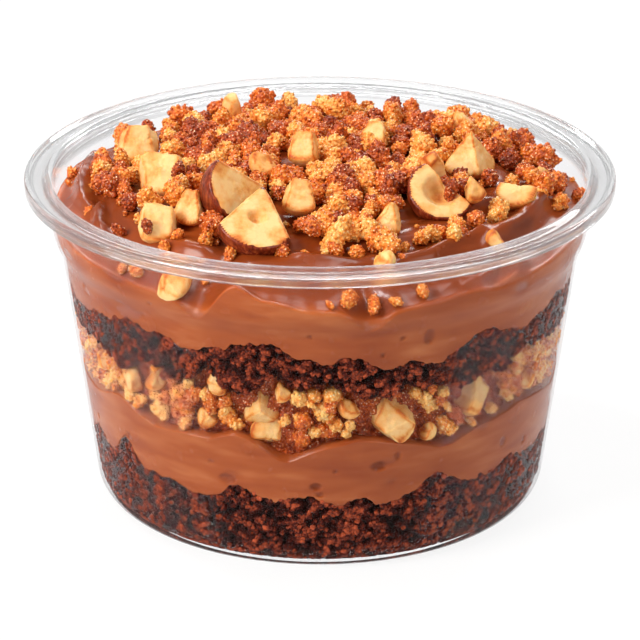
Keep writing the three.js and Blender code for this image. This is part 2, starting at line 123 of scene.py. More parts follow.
class Look(Graph):
    """A material round one Principled shader."""

    def __init__(self, name, constants):
        self.material = bpy.data.materials.new(name)
        self.material.use_nodes = True
        super().__init__(self.material.node_tree)
        self.shader = self.tree.nodes["Principled BSDF"]
        for socket, value in constants.items():
            self.shader.inputs[socket].default_value = value
        self.place = self.node("ShaderNodeTexCoord", out="Object")

    def drive(self, **wires):
        """Links sockets of the shader: color, roughness or normal."""
        names = {"color": "Base Color", "roughness": "Roughness", "normal": "Normal"}
        for key, wire in wires.items():
            self.tree.links.new(wire.socket, self.shader.inputs[names[key]])

    def noise(self, size_mm, detail=3.0, roughness=0.5, stretch=(1, 1, 1), shift=0.0):
        """Soft noise with patches of about that size; stretch lengthens them along an axis."""
        scale = tuple(1.0 / (s * size_mm * MM) for s in stretch)
        mapping = {"Vector": self.place, "Scale": scale, "Location": (shift,) * 3}
        place = self.node("ShaderNodeMapping", {}, mapping)
        sockets = {"Vector": place, "Scale": 1.0, "Detail": detail, "Roughness": roughness}
        return self.node("ShaderNodeTexNoise", {}, sockets)

    def cells(self, size_mm):
        """Distance to the nearest of the points strewn about that far apart."""
        return self.node("ShaderNodeTexVoronoi", {}, {"Vector": self.place, "Scale": 1.0 / (size_mm * MM)})

    def attribute(self, name):
        return self.node("ShaderNodeAttribute", {"attribute_name": name}, out="Fac")

    def ramp(self, value, stops):
        return self.node("ShaderNodeValToRGB", {"stops": stops}, {"Fac": value})

    def mix(self, share, first, second):
        """The first colour, with that share of the second."""
        return self.node("ShaderNodeMix", {"data_type": "RGBA"}, {0: share, 6: first, 7: second}, out=2)

    def bump(self, height, depth_mm, strength=1.0, under=None):
        sockets = {"Height": height, "Distance": depth_mm * MM, "Strength": strength}
        if under is not None:
            sockets["Normal"] = under
        return self.node("ShaderNodeBump", {}, sockets)


def srgb(*levels):
    """A colour given as on a screen, with levels from 0 to 255, as linear light."""
    shares = [level / 255 for level in levels]
    return tuple(c / 12.92 if c <= 0.04045 else ((c + 0.055) / 1.055) ** 2.4 for c in shares)


# ---------------------------------------------------------------------------------------------
# Materials

RIM_FROM = 62  # height in mm above which the cup's plastic is thicker
FOOT_TO = 1.6  # height in mm below which it is
CREAM_TONES = [(0.0, srgb(106, 44, 18)), (0.43, srgb(142, 62, 22)), (0.72, srgb(163, 80, 34)),
               (1.0, srgb(186, 108, 60))]
# Sponge tones: near black for painted shade in the pores, red brown for painted light on the grains.
SPONGE_TONES = [(0.0, srgb(20, 5, 2)), (0.5, srgb(76, 20, 9)), (1.0, srgb(196, 88, 52))]
CRUMB_TONES = [(0.0, srgb(255, 198, 116)), (0.25, srgb(244, 158, 66)), (0.5, srgb(220, 108, 26)),
               (0.75, srgb(180, 74, 18)), (1.0, srgb(128, 44, 12))]
# Colour of the painted glints: pale dots on the crumbs' beads.
PAINTED_GLINT = (*srgb(255, 236, 196), 1)
NUT_TONES = [(0.0, srgb(241, 198, 134)), (0.35, srgb(233, 170, 94)), (0.7, srgb(211, 121, 44)),
             (1.0, srgb(178, 82, 26))]
SKIN_TONES = [(0.0, srgb(66, 20, 12)), (0.5, srgb(132, 50, 24)), (1.0, srgb(186, 92, 44))]


def clear_plastic():
    """Thin clear plastic. Faced squarely the wall hardly shows; seen at a slant, and at the thicker rim and
    foot, it bends and mirrors more of the light. Lamps shine through it."""
    look = Look("clear_plastic", {"Base Color": (0.97, 0.975, 0.98, 1), "Roughness": 0.03, "IOR": 1.42,
                                  "Transmission Weight": 1.0})
    height = look.node("ShaderNodeSeparateXYZ", {}, {"Vector": look.place}, out="Z")
    rim = height.clamped(RIM_FROM * MM, (RIM_FROM + 1.5) * MM)
    foot = 1 - height.clamped(FOOT_TO * 0.4 * MM, FOOT_TO * MM)
    waves = look.noise(9, detail=1.0, stretch=(1, 1, 2.5)) * (1 - rim)
    look.drive(normal=look.bump(waves, 0.05, 0.08))
    lamp_ray = look.node("ShaderNodeLightPath", out="Is Shadow Ray")
    facing = look.node("ShaderNodeLayerWeight", {}, {"Blend": 0.5}, out="Facing")
    wall = (0.95 - facing ** 5 * 0.5) * (1 - rim) * (1 - foot * 0.95)
    clearness = wall + (0.5 - facing ** 2 * 0.3) * rim
    clear = look.node("ShaderNodeBsdfTransparent", {}, {"Color": (0.95, 0.95, 0.956, 1)})
    solid = Wire(look, look.shader.outputs["BSDF"])
    mixed = look.node("ShaderNodeMixShader", {}, {0: lamp_ray.math("MAXIMUM", clearness), 1: solid, 2: clear})
    look.tree.links.new(mixed.socket, look.tree.nodes["Material Output"].inputs["Surface"])
    return look.material


def chocolate_cream():
    """Smooth milk chocolate cream with soft streaks and a satin shine, darker off the wall, with painted
    shade in its pits and folds.
    """
    look = Look("chocolate_cream", {"Subsurface Weight": 0.2, "Subsurface Scale": 0.0015, "IOR": 1.45,
                                    "Subsurface Radius": (1.0, 0.45, 0.25), "Specular IOR Level": 0.35})
    streaks = look.noise(7, detail=4.0, stretch=(1.6, 1.6, 0.35))
    patches = look.noise(16, detail=2.0, shift=3.0)
    streaked = (streaks * 0.6 + patches * 0.4).clamped(0.3, 0.7)
    # Painted shade where the side lies behind the wall, in bubbles, dents and folds; the bare top is darker
    # too.
    tone = streaked - look.attribute("open") * 0.75 - look.attribute("depth") * 0.7
    look.drive(
        color=look.ramp(tone.clamped(-0.75, 1.0), CREAM_TONES),
        roughness=look.noise(5, detail=2.0, shift=7.0).clamped(0.2, 0.8) * 0.14 + 0.17,
    )
    ripples = look.bump(streaks, 0.25, 0.5)
    look.drive(normal=look.bump(look.noise(0.9, detail=3.0), 0.05, 0.4, under=ripples))
    return look.material


def chocolate_sponge():
    """Dark moist crumb, near black in its pores as painted shade and red brown on its grains as painted
    light.
    """
    look = Look("chocolate_sponge", {"IOR": 1.5, "Specular IOR Level": 0.12})
    depth = look.attribute("depth")
    bead = look.attribute("bead")
    grains = look.noise(0.55, detail=4.0, roughness=0.7)
    patches = look.noise(5, detail=2.0, shift=5.0)
    # Painted light on the grains, painted shade in the pores and deep places, and each loose grain's own
    # tone.
    tone = grains * 1.1 + patches * 0.25 + bead * 0.35 - depth * 0.35 - 0.1
    look.drive(
        color=look.ramp(tone.clamped(0.3, 1.0), SPONGE_TONES),
        roughness=look.noise(1.1, detail=2.0, shift=9.0).clamped(0.3, 0.7) * 0.35 + 0.22,
        normal=look.bump(grains, 0.35, 0.8),
    )
    return look.material


def caramel_crumble():
    """Sugared crumbs: the tone of each runs from pale gold over caramel to deep red brown. Fine beads cover
    them, with painted highlights on their tops, painted shade in between and here and there painted glints."""
    look = Look("caramel_crumble", {"Subsurface Weight": 0.12, "Subsurface Scale": 0.0008, "IOR": 1.5,
                                    "Subsurface Radius": (1.0, 0.7, 0.4), "Specular IOR Level": 0.4})
    tone = look.attribute("tone")
    bead = look.attribute("bead")
    cell = look.cells(0.6)
    between = cell ** 1.5
    grains = look.noise(0.5, detail=2.0, roughness=0.6)
    patches = look.noise(2.4, detail=2.0, shift=4.0)
    # Painted shade between the cells, where between is large, and painted highlights at their centres.
    mixed = tone + (0.5 - bead) * 0.3 + (between - 0.25) * 0.5 + (grains - 0.5) * 0.2 + (patches - 0.5) * 0.7
    # Painted glints: pale dots at the centres of some of the cells.
    painted_glint = (1 - cell.clamped(0.17, 0.33)) * grains.clamped(0.47, 0.56)
    look.drive(
        color=look.mix(painted_glint * 0.9, look.ramp(mixed.clamped(0.0, 1.0), CRUMB_TONES), PAINTED_GLINT),
        roughness=look.noise(1.3, detail=1.0, shift=2.0).clamped(0.3, 0.7) * 0.3 + 0.2,
        normal=look.bump(grains * 0.35 - between, 0.3, 0.9),
    )
    return look.material


def hazelnut():
    """Pale nut flesh with a grain of tan, browner along its edges and with painted shade in its hollows,
    under a glossy red-brown skin.
    """
    look = Look("hazelnut", {"Subsurface Weight": 0.35, "Subsurface Scale": 0.0015, "IOR": 1.45,
                             "Subsurface Radius": (1.0, 0.5, 0.2), "Specular IOR Level": 0.35})
    skin = look.attribute("skin")
    roast = look.attribute("roast")
    grain = look.noise(0.9, detail=4.0, roughness=0.6)
    patches = look.noise(3.5, detail=2.0, shift=6.0)
    # The brown tone holds painted shade in the hollows of the wedge and the ring.
    tone = roast + (grain - 0.5) * 0.8 + (patches - 0.5) * 0.7
    flesh = look.ramp(tone.clamped(0.0, 1.0), NUT_TONES)
    husk_grain = look.noise(1.4, detail=4.0, roughness=0.65, stretch=(0.6, 0.6, 2.2))
    husk = look.ramp(husk_grain.clamped(0.3, 0.75), SKIN_TONES)
    edge = (skin + (grain - 0.5) * 0.3).clamped(0.42, 0.55)
    look.drive(
        color=look.mix(edge, flesh, husk),
        roughness=0.5 - edge * 0.24,
        normal=look.bump(grain * (1 - edge) + husk_grain * edge, 0.14, 0.6),
    )
    return look.material


def table_top():
    look = Look("pale_table", {"Roughness": 0.9, "Specular IOR Level": 0.1, "Emission Color": (1, 1, 1, 1),
                               "Emission Strength": 0.87})
    speckle = look.noise(30, detail=2.0)
    look.drive(color=look.ramp(speckle, [(0.0, (0.12, 0.12, 0.12)), (1.0, (0.14, 0.14, 0.14))]))
    return look.material


PLASTIC = clear_plastic()
CREAM = chocolate_cream()
SPONGE = chocolate_sponge()
CRUMBLE = caramel_crumble()
NUT = hazelnut()

# ---------------------------------------------------------------------------------------------
# The cup's and the layers' forms

cup_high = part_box("cup")[1]
RIM_RADIUS = cup_high.x / MM
CUP_HEIGHT = cup_high.z / MM
WALL = 0.7  # thickness of the plastic
FLOOR_TOP = 1.2
FLOOR_RECESS = 0.5  # how far the floor is lifted inside its foot ring
BODY_FOOT = 44.95  # outer radius of the tapered wall, carried on down to the table
BODY_TOP = 51.7  # the same at the shoulder
SHOULDER = 53  # height at which the wall steps out
SHOULDER_RISE = 1.6
SHOULDER_SPREAD = 2.2  # how much sooner the step starts and later it ends, as it is a soft one
COLLAR_FOOT = 53.2
COLLAR_TOP = 53.6
CORNER = 5  # radius of the corner between wall and floor
RIM_DROP = 2.6  # how far the rim's outer edge hangs below its top
FOOD_EDGE = COLLAR_TOP - WALL - 0.3  # radius of the upper cream's edge under the rim
CREAM_TOP = 65.6
DOME_POWER = 4  # how suddenly the cream's crown falls off towards the wall
SWIRL_DEPTH = 1.3
SWIRL_PITCH = 9
BACK_DROP = 1.9  # how much lower the cream lies from BACK_REACH behind the axis
BACK_REACH = 40
BITE = 0.12  # how far the food reaches into the cup's wall, so that no air gap shows
SLOPE = math.atan2(BODY_TOP - BODY_FOOT, SHOULDER)  # lean of the wall from upright


def draw(i, k):
    """A repeatable number from 0 to 1 for item i and use k."""
    s = np.sin(np.asarray(i) * 127.1 + k * 311.7 + 17.3) * 43758.5453
    return s - np.floor(s)


# Each edge between two layers has a mean height, a tilt (its rise from the front to the back), and lobes:
# angle in the middle of the lobe, half its width in degrees, its rise.
EDGES = {
    "sponge_top": (15.8, 0, [
        (-71, 4, 2.5), (-54, 4.5, 5.2), (-32, 5, -1.4), (-20.5, 3.5, 2.2), (-4, 4, 0.7), (4.5, 2.5, -1.3),
        (15, 3, -1.6), (29, 5.5, 3.6), (41, 3, -0.6), (53, 4, 1.4)]),
    "lower_cream_top": (27.4, 0, [
        (-55, 7, 2.4), (-40, 4, -0.5), (-19, 5, 1.9), (-8, 5, -3), (9, 6, 1.6), (30, 7, -2.3), (54, 8, 1.2),
        (74, 5, -1.5)]),
    "crumble_top": (39.4, 0, [
        (-52, 3.5, -2.6), (-41, 4, 1.8), (-35, 2.5, -0.8), (-26, 3, 3), (-18, 3.5, -1), (-10, 3.5, 3),
        (1, 4, 1.6), (13, 5, -1.5), (34, 5, -1.9), (46, 3, -1.5), (56, 6, 1.4)]),
    "upper_sponge_top": (46.7, 0, [
        (-70, 8, -1.8), (-46, 4, 2), (-38, 4, 1), (-16, 7, 2.4), (-9, 4, 1.5), (1, 4, -0.8), (15, 4.5, -2.6),
        (26, 4, -3), (38, 5, 1.9), (53, 5, -0.8), (66, 7, 1.6)]),
    "upper_cream_top": (59.6, 6, [
        (-26.5, 4, -3.4), (-17.5, 4.5, 4.4), (-9, 5, 1.8), (10.5, 4, -4), (31, 6, 0.8), (41, 4, -0.6)]),
}
# Lobes at even steps round the back of each edge: the first one's angle, the step and how high they rise.
BACK_FROM = 88
BACK_STEP = 23
BACK_RISE = 2.2
for e, edge in enumerate(EDGES.values()):
    for i, at in enumerate(range(BACK_FROM, 360 - BACK_FROM, BACK_STEP)):
        edge[2].append((at, 5 + 4 * float(draw(i, 40 + e)), BACK_RISE * (2 * float(draw(i, 50 + e)) - 1)))


def edge_height(edge, angle, share=1.0):
    """Height of an edge at an angle; inwards of the wall (share < 1) its lobes fade."""
    height, tilt, lobes = edge
    total = sum(rise * np.exp(-((((angle - at + 180) % 360 - 180) / half) ** 2)) for at, half, rise in lobes)
    return height - tilt / 2 * np.cos(np.radians(angle)) + total * share ** 4


def outer_line(z):
    return BODY_FOOT + math.tan(SLOPE) * z


def inner_line(z):
    return outer_line(z) - WALL / math.cos(SLOPE)


def cream_height(r, angle):
    """The upper cream's top: a crown that a spatula left in a spiral of soft ridges."""
    share = np.minimum(1, r / FOOD_EDGE)
    edge = edge_height(EDGES["upper_cream_top"], angle, share)
    crown = edge + (CREAM_TOP - edge) * (1 - share ** DOME_POWER)
    phase = r / SWIRL_PITCH - (angle % 360) / 360
    along = phase - np.floor(phase)
    ridge = np.sin(np.pi * along ** 1.8) - 0.5
    band = np.sin(np.pi * np.clip((share - 0.4) / 0.6, 0, 1)) ** 0.7
    back = np.clip(-r * np.cos(np.radians(angle)) / BACK_REACH, 0, 1)
    return crown + SWIRL_DEPTH * band * ridge - BACK_DROP * back


def cream_above(x, y):
    return cream_height(np.hypot(x, y), np.degrees(np.arctan2(x, -np.asarray(y))))


def around(angle, r, z):
    """Points at those angles, radii and heights, in mm."""
    a = np.radians(angle)
    return np.stack(np.broadcast_arrays(r * np.sin(a), -r * np.cos(a), z), -1)


# ---------------------------------------------------------------------------------------------
# Meshes

def add(name, data):
    """A new object in the scene, of a mesh, a light or a camera."""
    made = bpy.data.objects.new(name, data)
    bpy.context.scene.collection.objects.link(made)
    return made


def give(mesh, name, values, kind="FLOAT"):
    """Keeps a value for each of a mesh's points."""
    field = "vector" if kind == "FLOAT_VECTOR" else "value"
    mesh.attributes.new(name, kind, "POINT").data.foreach_set(field, np.asarray(values).ravel().tolist())


def new_object(name, points, faces, material, attributes=None):
    """A smooth mesh of points in mm."""
    mesh = bpy.data.meshes.new(name)
    mesh.from_pydata((np.asarray(points, float) * MM).tolist(), [], faces)
    mesh.polygons.foreach_set("use_smooth", [True] * len(mesh.polygons))
    for key, values in (attributes or {}).items():
        give(mesh, key, values)
    mesh.materials.append(material)
    return add(name, mesh)


def mesh_points(mesh):
    """A mesh's points in metres, a row for each."""
    flat = np.empty(len(mesh.vertices) * 3, np.float32)
    mesh.vertices.foreach_get("co", flat)
    return flat.reshape(-1, 3)


def turned(name, angles, r, z, material, attributes=None):
    """A closed surface round the axis. r and z hold a row for each ring, from the lower pole's to the
    upper pole's, with a column for each angle; the poles themselves lie on the axis."""
    rows, columns = r.shape
    ring = around(angles[None, :], r, z).reshape(-1, 3)
    poles = np.array([[0, 0, z[0].mean()], [0, 0, z[-1].mean()]])
    at = np.arange(rows * columns).reshape(rows, columns)
    beside = np.roll(at, -1, axis=1)
    quads = np.stack([at[:-1], beside[:-1], beside[1:], at[1:]], -1).reshape(-1, 4).tolist()
    low, high = rows * columns, rows * columns + 1
    fans = [(low, b, a) for a, b in zip(at[0].tolist(), beside[0].tolist())]
    fans += [(high, a, b) for a, b in zip(at[-1].tolist(), beside[-1].tolist())]
    values = {}
    for key, value in (attributes or {}).items():
        values[key] = np.append(value.reshape(-1), [value[0].mean(), value[-1].mean()])
    return new_object(name, np.vstack([ring, poles]), quads + fans, material, values)


def keep(piece, slot, *nodes):
    """A finished piece of the object: it rides on the body and stands for those nodes."""
    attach(piece, BODY)
    if nodes:
        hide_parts(*nodes)


def fractal(points, size, octaves=3, shift=0.0):
    """Noise, about -1 to 1, with lumps of about that size in mm."""
    offset = Vector((shift, shift * 0.7, -shift))
    return np.array([noise.fractal(Vector(p) / size + offset, 1.0, 2.0, octaves) for p in points.tolist()])


# ---------------------------------------------------------------------------------------------
# The cup

def arc(centre, radius, start, end, steps):
    """Points about a centre, from one angle to another in degrees: 0 points outwards, 90 up."""
    a = np.radians(np.linspace(start, end, steps + 1))
    return [(centre[0] + radius * math.cos(t), centre[1] + radius * math.sin(t)) for t in a]


def cup_profile():
    """The section of the wall, from the middle of the underside round to the middle of the inside floor."""
    top = CUP_HEIGHT
    lean = -math.degrees(SLOPE)
    mouth = COLLAR_TOP - WALL
    inner = CORNER - WALL
    outside = (outer_line(CORNER) - CORNER / math.cos(SLOPE), CORNER)
    inside = (inner_line(FLOOR_TOP + inner) - inner / math.cos(SLOPE), FLOOR_TOP + inner)
    rim = [(COLLAR_TOP - 0.05, top - 2.0), *arc((COLLAR_TOP + 0.7, top - 2.0), 0.7, 180, 90, 5),
           (RIM_RADIUS - 2.0, top - 1.2), *arc((RIM_RADIUS - 1.6, top - 1.7), 0.5, 90, 10, 5),
           (RIM_RADIUS - 0.75, top - RIM_DROP + 0.2), (RIM_RADIUS - 0.45, top - RIM_DROP),
           (RIM_RADIUS - 0.12, top - RIM_DROP + 0.25), *arc((RIM_RADIUS - 0.9, top - 0.9), 0.9, 0, 100, 9),
           (RIM_RADIUS - 1.6, top - 0.35), (RIM_RADIUS - 2.1, top - 0.5), (mouth + 2.6, top - 0.55),
           (mouth + 1.9, top - 0.35), *arc((mouth + 0.95, top - 0.95), 0.95, 80, 180, 9)]
    return [
        (outside[0] - 5, FLOOR_RECESS), (outside[0] - 3.2, FLOOR_RECESS), (outside[0] - 2.6, 0.35),
        (outside[0] - 2, 0.05), (outside[0] - 1.4, 0.0), *arc(outside, CORNER, -90, lean, 12),
        (outer_line(20), 20), (outer_line(36), 36), *shoulder(0), *rim, *shoulder(WALL)[::-1],
        (inner_line(36), 36), (inner_line(20), 20), *arc(inside, inner, lean, -90, 12),
        (inside[0] - 3, FLOOR_TOP),
    ]


def shoulder(inwards):
    """The soft step in the wall, from the body out to the collar, that far inwards of the outside."""
    points = []
    for t in np.linspace(0, 1, 13):
        z = SHOULDER - SHOULDER_SPREAD + (SHOULDER_RISE + 2 * SHOULDER_SPREAD) * t
        step = t * t * (3 - 2 * t)
        line = outer_line(z)
        points.append((line + step * (COLLAR_FOOT - line) - inwards, z))
    return points


PROFILE = np.array(cup_profile())
LIP = int(np.argmax(PROFILE[:, 1] + (PROFILE[:, 0] < COLLAR_TOP) * 10))  # the highest point inside the collar
INSIDE = PROFILE[LIP:][::-1]
CUP_COLUMNS = 384


def inner_radius(z):
    """Inside radius of the cup at a height above its floor."""
    return np.interp(z, INSIDE[:, 1], INSIDE[:, 0])


def wall_spot(angle, z, inwards):
    """The point at that angle and height, that far inwards of the wall."""
    return around(angle, float(inner_radius(z)) - inwards, z)


def clear_cup():
    angles = np.arange(CUP_COLUMNS) * 360 / CUP_COLUMNS
    r = np.repeat(PROFILE[:, :1], CUP_COLUMNS, axis=1)
    z = np.repeat(PROFILE[:, 1:], CUP_COLUMNS, axis=1)
    return turned("clear_cup", angles, r, z, PLASTIC)


keep(clear_cup(), "clear_plastic", "cup")

# ---------------------------------------------------------------------------------------------
# The layers

COLUMNS = 720  # round each layer
ANGLES = np.arange(COLUMNS) * 360 / COLUMNS
JAGS = 0.75  # height of the jags along the edges of the sponges


def jagged(edge, size=1.5, seed=0.0):
    """Height of an edge round the wall, with the small jags of the crumb along it."""
    ring = around(ANGLES, 49.0, seed * 40.0)
    fine = fractal(ring, size, 3, seed) * JAGS + fractal(ring, size * 3.5, 2, seed + 5) * JAGS
    return edge_height(EDGES[edge], ANGLES) + fine


SPONGE_TOP = jagged("sponge_top", seed=1.0)
UPPER_SPONGE_TOP = jagged("upper_sponge_top", seed=2.0)
CRUMBLE_TOP = jagged("crumble_top", seed=3.0)
LOWER_CREAM_TOP = (jagged("lower_cream_top", size=3.0, seed=4.0) * 0.25
                   + edge_height(EDGES["lower_cream_top"], ANGLES) * 0.75)
INWARD = [0.93, 0.8, 0.5, 0.15]  # rings on a layer's hidden faces, as shares of the radius at the wall


def side_rows(low, high, pitch):
    """Heights of the rings up a side, a row for each."""
    count = max(3, int(np.max(high - low) / pitch) + 1)
    share = np.linspace(0, 1, count)[:, None]
    return low[None, :] * (1 - share) + high[None, :] * share


def layer(name, low, high, depth_of, pitch, material, floor=False, tone=0.0):
    """A layer from one edge to the next. depth_of(points) gives how far its side lies behind the wall."""
    z = side_rows(low, high, pitch)
    wall = inner_radius(z) + BITE
    points = around(ANGLES[None, :], wall, z)
    depth = depth_of(points.reshape(-1, 3)).reshape(z.shape)
    under = np.full(COLUMNS, z[0].min()) if floor else z[0]
    over = [z[-1] + (z[-1].mean() - z[-1]) * (1 - share) for share in INWARD]
    hidden = np.zeros((len(INWARD), COLUMNS))
    radii = np.vstack([np.outer(INWARD[::-1], wall[0]), wall - depth, np.outer(INWARD, wall[-1])])
    heights = np.vstack([[under] * len(INWARD), z, over])
    deep = np.vstack([hidden, depth, hidden])
    values = {"depth": deep, "tone": np.full(deep.shape, tone), "bead": np.full(deep.shape, 0.5),
              "open": np.zeros(deep.shape)}
    return turned(name, ANGLES, radii, heights, material, values)


def sponge_depth(points):
    """Lumps of crumb pressed against the wall, with dark pores between them."""
    coarse = fractal(points, 2.0, 2, 3.0)
    fine = fractal(points, 0.8, 3, 8.0)
    return np.clip(0.5 - 1.7 * coarse - 1.1 * fine, 0, 3.2)


# Bubbles and dents on the creams' sides: angle, height, width, height and depth of each.
CREAM_PITS = [
    (23.8, 49.9, 1.9, 2.8, 0.5), (17.7, 50.4, 0.7, 0.8, 0.4), (-2.1, 51.8, 0.7, 0.8, 0.4),
    (-63.7, 50.4, 0.7, 1.6, 0.4), (-38, 54.4, 0.6, 0.6, 0.4), (13.5, 47.2, 0.6, 0.6, 0.4),
    (18.1, 24.8, 1, 1.6, 0.5), (13.7, 23, 2.7, 1.6, 0.6), (3.6, 22.3, 0.7, 0.7, 0.4), (-1, 19, 1.8, 1.4, 0.6),
    (49.1, 21.3, 1.3, 1.7, 0.5), (58.9, 18.7, 0.9, 1.3, 0.4), (-26.3, 22.3, 0.7, 0.7, 0.4),
    (-22.2, 19.2, 3.1, 1.6, 0.4), (-52.6, 21.6, 1.2, 1.4, 0.4), (0, 17.2, 1.1, 1, 0.4),
    (-69.1, 20.5, 0.8, 0.9, 0.4), (17.1, 19, 1.2, 0.5, 0.3),
]
BACK_PITS = 26


def pits():
    """The bubbles in view, and as many as belong round the rest of the cup."""
    more = []
    for i in range(BACK_PITS):
        angle = 80 + 200 * float(draw(i, 80))
        z = (19 if i % 2 else 48) + 6 * float(draw(i, 81))
        size = 0.6 + 1.6 * float(draw(i, 82)) ** 3
        more.append((angle, z, size, size * (0.6 + 0.6 * float(draw(i, 83))), 0.4))
    return CREAM_PITS + more


def cream_depth(points):
    """Smooth against the wall, but for bubbles, dents and shallow folds that the wall doesn't touch."""
    angle = np.degrees(np.arctan2(points[:, 0], -points[:, 1]))
    r = np.hypot(points[:, 0], points[:, 1])
    depth = np.clip(fractal(points * (1, 1, 2.6), 11.0, 3, 6.0) - 0.42, 0, 1) * 0.5
    for at, z, width, height, deep in pits():
        across = np.radians((angle - at + 180) % 360 - 180) * r / (width / 2)
        up = (points[:, 2] - z) / (height / 2)
        near = np.clip(1.25 - np.sqrt(across ** 2 + up ** 2), 0, 1)
        depth = np.maximum(depth, deep * np.minimum(1, near * 3))
    return depth


def filling_depth(points):
    """The bed of the filling lies well behind the wall, in lumps, for the crumbs in front of it."""
    return np.clip(3.0 - 1.4 * fractal(points, 1.8, 3, 4.0), 1.6, 4.6)


floor_edge = np.full(COLUMNS, FLOOR_TOP - BITE)
keep(layer("lower_sponge_layer", floor_edge, SPONGE_TOP, sponge_depth, 0.42, SPONGE, floor=True),
     "chocolate_sponge", "lower_sponge")
keep(layer("lower_cream_layer", SPONGE_TOP, LOWER_CREAM_TOP, cream_depth, 0.4, CREAM),
     "chocolate_cream", "lower_cream")
keep(layer("filling_bed", LOWER_CREAM_TOP - 0.2, CRUMBLE_TOP, filling_depth, 0.5, CRUMBLE, tone=0.74),
     "caramel_crumble", "nut_crumble")
keep(layer("upper_sponge_layer", CRUMBLE_TOP, UPPER_SPONGE_TOP, sponge_depth, 0.42, SPONGE),
     "chocolate_sponge", "upper_sponge")


# Folds that the spatula left on the cream: the line of each crest in mm, its width and its height.
FOLDS = [
    ([(30.5, -33), (34.3, -27), (38.5, -20.9), (41.8, -14.2), (44.2, -7.5), (45.6, 0)], 2.6, 1.7),
    ([(12, -43), (21, -38.1), (25.5, -33.5), (29.8, -28.6), (33.5, -23.3)], 2.4, 1.5),
    ([(24, -22), (28.5, -19.7), (31.9, -16), (35, -13.6), (38.9, -12), (41, -9)], 2.4, 1.3),
    ([(-45, 27), (-46.8, 21.5), (-47.8, 12.2), (-48.4, 3.7), (-47.4, -5.2), (-44.3, -15.4)], 2.2, 1.6),
    ([(-40, -4), (-42, -8.9), (-43.3, -13.3), (-43.2, -18.3), (-41, -24)], 2.0, 1.5),
    ([(-37, -26), (-32.4, -30), (-25.5, -34.1), (-18, -38)], 2.4, 0.9),
    ([(-8, -38.5), (-1, -40), (7.4, -40.8), (14, -39)], 2.4, 0.9),
    ([(26, -43), (30.1, -41), (32.2, -38), (33, -33)], 1.8, 1.2),
    ([(33, -43), (36, -39), (40, -30)], 2.0, 1.1),
    ([(44, 12), (40, 22), (33, 31), (22, 38)], 2.6, 1.3),
    ([(8, 46), (-6, 47), (-20, 43), (-31, 35)], 2.6, 1.3),
]
FOLD_RISE = 1.25  # factor on the heights of the folds


def folds(points):
    """Height that the folds add at points: steep on the outer side of a crest, gentle on the inner one."""
    total = np.zeros(len(points))
    for line, width, height in FOLDS:
        line = np.array(line, float)
        nearest = np.full(len(points), np.inf)
        side = np.zeros(len(points))
        for a, b in zip(line[:-1], line[1:]):
            along = b - a
            t = np.clip(((points - a) @ along) / (along @ along), 0, 1)
            foot = a + t[:, None] * along
            gap = np.linalg.norm(points - foot, axis=1)
            outward = np.sign(np.linalg.norm(points, axis=1) - np.linalg.norm(foot, axis=1))
            side = np.where(gap < nearest, outward, side)
            nearest = np.minimum(nearest, gap)
        ends = np.minimum(np.linalg.norm(points - line[0], axis=1), np.linalg.norm(points - line[-1], axis=1))
        reach = np.where(side > 0, 0.4, 1.0) * width
        total += FOLD_RISE * height * np.exp(-((nearest / reach) ** 2)) * np.clip(ends / (2 * width), 0, 1)
    return total


def swirled_cream():
    """The upper cream: its side against the wall, its top swirled with a spatula, with finer folds."""
    share = 1 - np.linspace(0, 1, 80)[:-1] ** 1.25 * 0.97
    edge_z = cream_height(np.full(COLUMNS, FOOD_EDGE), ANGLES)
    z = side_rows(UPPER_SPONGE_TOP, edge_z, 0.4)
    wall = inner_radius(z) + BITE
    points = around(ANGLES[None, :], wall, z)
    depth = cream_depth(points.reshape(-1, 3)).reshape(z.shape)
    r_top = share[1:, None] * wall[-1][None, :]
    angle = np.broadcast_to(ANGLES[None, :], r_top.shape)
    z_top = cream_height(r_top, angle)
    flat = around(angle, r_top, 0).reshape(-1, 3)
    fine = fractal(flat, 9.0, 3, 2.0).reshape(r_top.shape)
    z_top = z_top + 0.4 * fine + folds(flat[:, :2]).reshape(r_top.shape)
    lip = 0.5 * np.exp(-((wall[-1][None, :] - r_top) / 0.5) ** 2)
    radii = np.vstack([np.outer(INWARD[::-1], wall[0]), wall - depth, r_top])
    heights = np.vstack([[z[0]] * len(INWARD), z, z_top + lip])
    bare = np.vstack([np.zeros((len(INWARD) + len(z), COLUMNS)), np.clip((wall[-1] - r_top) / 1.5, 0, 1)])
    deep = np.vstack([np.zeros((len(INWARD), COLUMNS)), depth, np.zeros(r_top.shape)])
    return turned("swirled_cream", ANGLES, radii, heights, CREAM, {"open": bare, "depth": deep})


keep(swirled_cream(), "chocolate_cream", "upper_cream")

# ---------------------------------------------------------------------------------------------
# Scattering with geometry nodes

FINE_SHAPES = bpy.data.collections.new("fine_crumb_shapes")
COARSE_SHAPES = bpy.data.collections.new("coarse_crumb_shapes")


